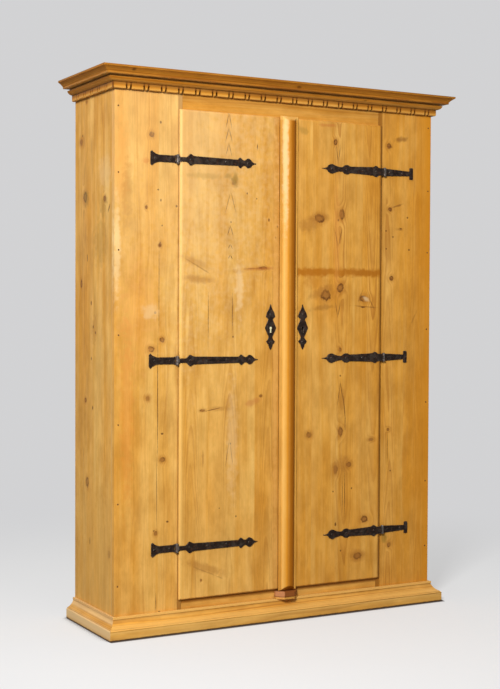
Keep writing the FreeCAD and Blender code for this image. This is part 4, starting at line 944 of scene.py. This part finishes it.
# Painted contact shadow on the floor: soft where ambient occlusion finds the plinth, and a crisp dark
# line along its foot, which is narrower along the sides and stops short of the back.
CONTACT_REACH = 0.06
CONTACT_TINT = linear(66, 47, 30)
CONTACT_DARK = 0.7
CONTACT_SPAN = (0.55, 0.82)
FOOT_SHADOW_DARK = 0.95
FOOT_SHADOW_WIDTH = (0.012, 0.022)
FOOT_SHADOW_NARROWING = (3.0, 1.0, 0.0)
FOOT_SHADOW_STOP = 0.02
FOOT_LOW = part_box("plinth_left")[0]
FOOT_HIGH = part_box("plinth_right")[1] - Vector((0.0, FOOT_SHADOW_STOP, 0.0))
FOOT_MIDDLE = tuple((FOOT_LOW + FOOT_HIGH) / 2)
FOOT_HALF = (FOOT_HIGH.x - FOOT_MIDDLE[0], FOOT_HIGH.y - FOOT_MIDDLE[1], 1.0)
FLOOR_BOUNCE = (0.25, 0.25, 0.25, 1.0)
FLOOR_HALF = 14.0
FADE_START = 0.9
FADE_END = 2.8
AMBIENT_LEVEL = 0.12
AMBIENT_RISE = 0.45
KEY_PLACE = (-2.9, -3.3, 3.1)
KEY_TARGET = (0.0, 0.0, 1.0)
KEY_SIZE = 1.0
KEY_POWER = 236.0


def floor():
    """Pale floor that fades into the plain backdrop with distance, with a painted contact shadow at the
    plinth's foot. It throws little light back.
    """
    mesh = bmesh.new()
    bmesh.ops.create_grid(mesh, x_segments=8, y_segments=8, size=FLOOR_HALF)
    data = bpy.data.meshes.new("floor")
    mesh.to_mesh(data)
    mesh.free()
    piece = bpy.data.objects.new("floor", data)
    bpy.context.scene.collection.objects.link(piece)
    material, g = new_material("floor")
    seen = g.node("LightPath", {}).outputs["Is Camera Ray"]
    place = g.node("NewGeometry", {}).outputs["Position"]
    far = g.step(g.length(place), FADE_START, FADE_END)
    cloud = g.noise(g.vector("MULTIPLY", place, (FLOOR_CLOUDS_PER_METRE,) * 3))[0]
    pale = g.mix(g.spread(cloud, 0.0, 0.25), FLOOR_SEEN, FLOOR_CLOUD)
    # Painted contact shadow: soft from ambient occlusion, crisp along the plinth's foot.
    contact = g.node("AmbientOcclusion", {"Distance": CONTACT_REACH}, samples=8).outputs["AO"]
    from_middle = g.vector("ABSOLUTE", g.vector("SUBTRACT", place, FOOT_MIDDLE), ORIGIN)
    past_foot = g.vector("MAXIMUM", g.vector("SUBTRACT", from_middle, FOOT_HALF), ORIGIN)
    foot_distance = g.length(g.vector("MULTIPLY", past_foot, FOOT_SHADOW_NARROWING))
    soft = g.step(contact, *CONTACT_SPAN, CONTACT_DARK, 0.0)
    crisp = g.step(foot_distance, *FOOT_SHADOW_WIDTH, FOOT_SHADOW_DARK, 0.0)
    tint = g.mix(g.math("MAXIMUM", soft, crisp), WHITE, CONTACT_TINT)
    pale = g.mix(1.0, pale, tint, "MULTIPLY")
    lift = g.node("Emission", {"Color": tint, "Strength": FLOOR_GLOW}).outputs[0]
    matt = g.node("BsdfDiffuse", {"Color": g.mix(seen, FLOOR_BOUNCE, pale)}).outputs[0]
    near = g.node("MixShader", {0: g.math("MULTIPLY", seen, FLOOR_GLOW_SHARE), 1: matt, 2: lift}).outputs[0]
    glow = g.node("Emission", {"Color": BACKDROP, "Strength": 1.0}).outputs[0]
    faded = g.node("MixShader", {0: g.math("MULTIPLY", far, seen), 1: near, 2: glow}).outputs[0]
    g.node("OutputMaterial", {"Surface": faded})
    data.materials.append(material)


def world():
    """Soft light that grows towards the top. The camera sees the plain backdrop instead."""
    backdrop = bpy.data.worlds.new("studio")
    bpy.context.scene.world = backdrop
    backdrop.use_nodes = True
    backdrop.node_tree.nodes.clear()
    g = Graph(backdrop.node_tree)
    path = g.node("LightPath", {}).outputs
    direct = g.math("MAXIMUM", path["Is Camera Ray"], path["Is Glossy Ray"])
    direct = g.math("MAXIMUM", direct, path["Is Transmission Ray"])
    rise = g.split(g.node("TexCoord", {}).outputs["Generated"])[2]
    level = g.math("ADD", AMBIENT_LEVEL, g.math("MULTIPLY", g.math("MAXIMUM", rise, 0.0), AMBIENT_RISE))
    soft = g.node("Background", {"Color": WHITE, "Strength": level}).outputs[0]
    plain = g.node("Background", {"Color": BACKDROP, "Strength": 1.0}).outputs[0]
    mixed = g.node("MixShader", {0: direct, 1: soft, 2: plain}).outputs[0]
    g.node("OutputWorld", {"Surface": mixed})


def key_light():
    """Square softbox at the upper left, in front."""
    data = bpy.data.lights.new("key", "AREA")
    data.shape = "SQUARE"
    data.size = KEY_SIZE
    data.energy = KEY_POWER
    lamp = bpy.data.objects.new("key", data)
    lamp.location = KEY_PLACE
    lamp.rotation_euler = (Vector(KEY_TARGET) - Vector(KEY_PLACE)).to_track_quat("-Z", "Y").to_euler()
    bpy.context.scene.collection.objects.link(lamp)


floor()
world()
key_light()

# -------------------------------------------------------------------- camera

# Fitted to the perspective of the photograph: degrees, and a lens in millimetres.
CAMERA_PLACE = (-2.3978, -4.2673, 1.1071)
CAMERA_YAW = 28.811
CAMERA_PITCH = -1.581
CAMERA_ROLL = 0.249
CAMERA_LENS = 70.04
SENSOR_WIDTH = 36.0


def camera():
    """The camera of the photograph, turned, tipped and then rolled."""
    data = bpy.data.cameras.new("camera")
    data.lens = CAMERA_LENS
    data.sensor_width = SENSOR_WIDTH
    seen = bpy.data.objects.new("camera", data)
    bpy.context.scene.collection.objects.link(seen)
    turn = Matrix.Rotation(-math.radians(CAMERA_YAW), 4, "Z")
    tip = Matrix.Rotation(math.pi / 2 + math.radians(CAMERA_PITCH), 4, "X")
    roll = Matrix.Rotation(math.radians(CAMERA_ROLL), 4, "Z")
    seen.matrix_world = Matrix.Translation(CAMERA_PLACE) @ turn @ tip @ roll
    bpy.context.scene.camera = seen


camera()
bpy.context.scene.view_settings.view_transform = "Standard"
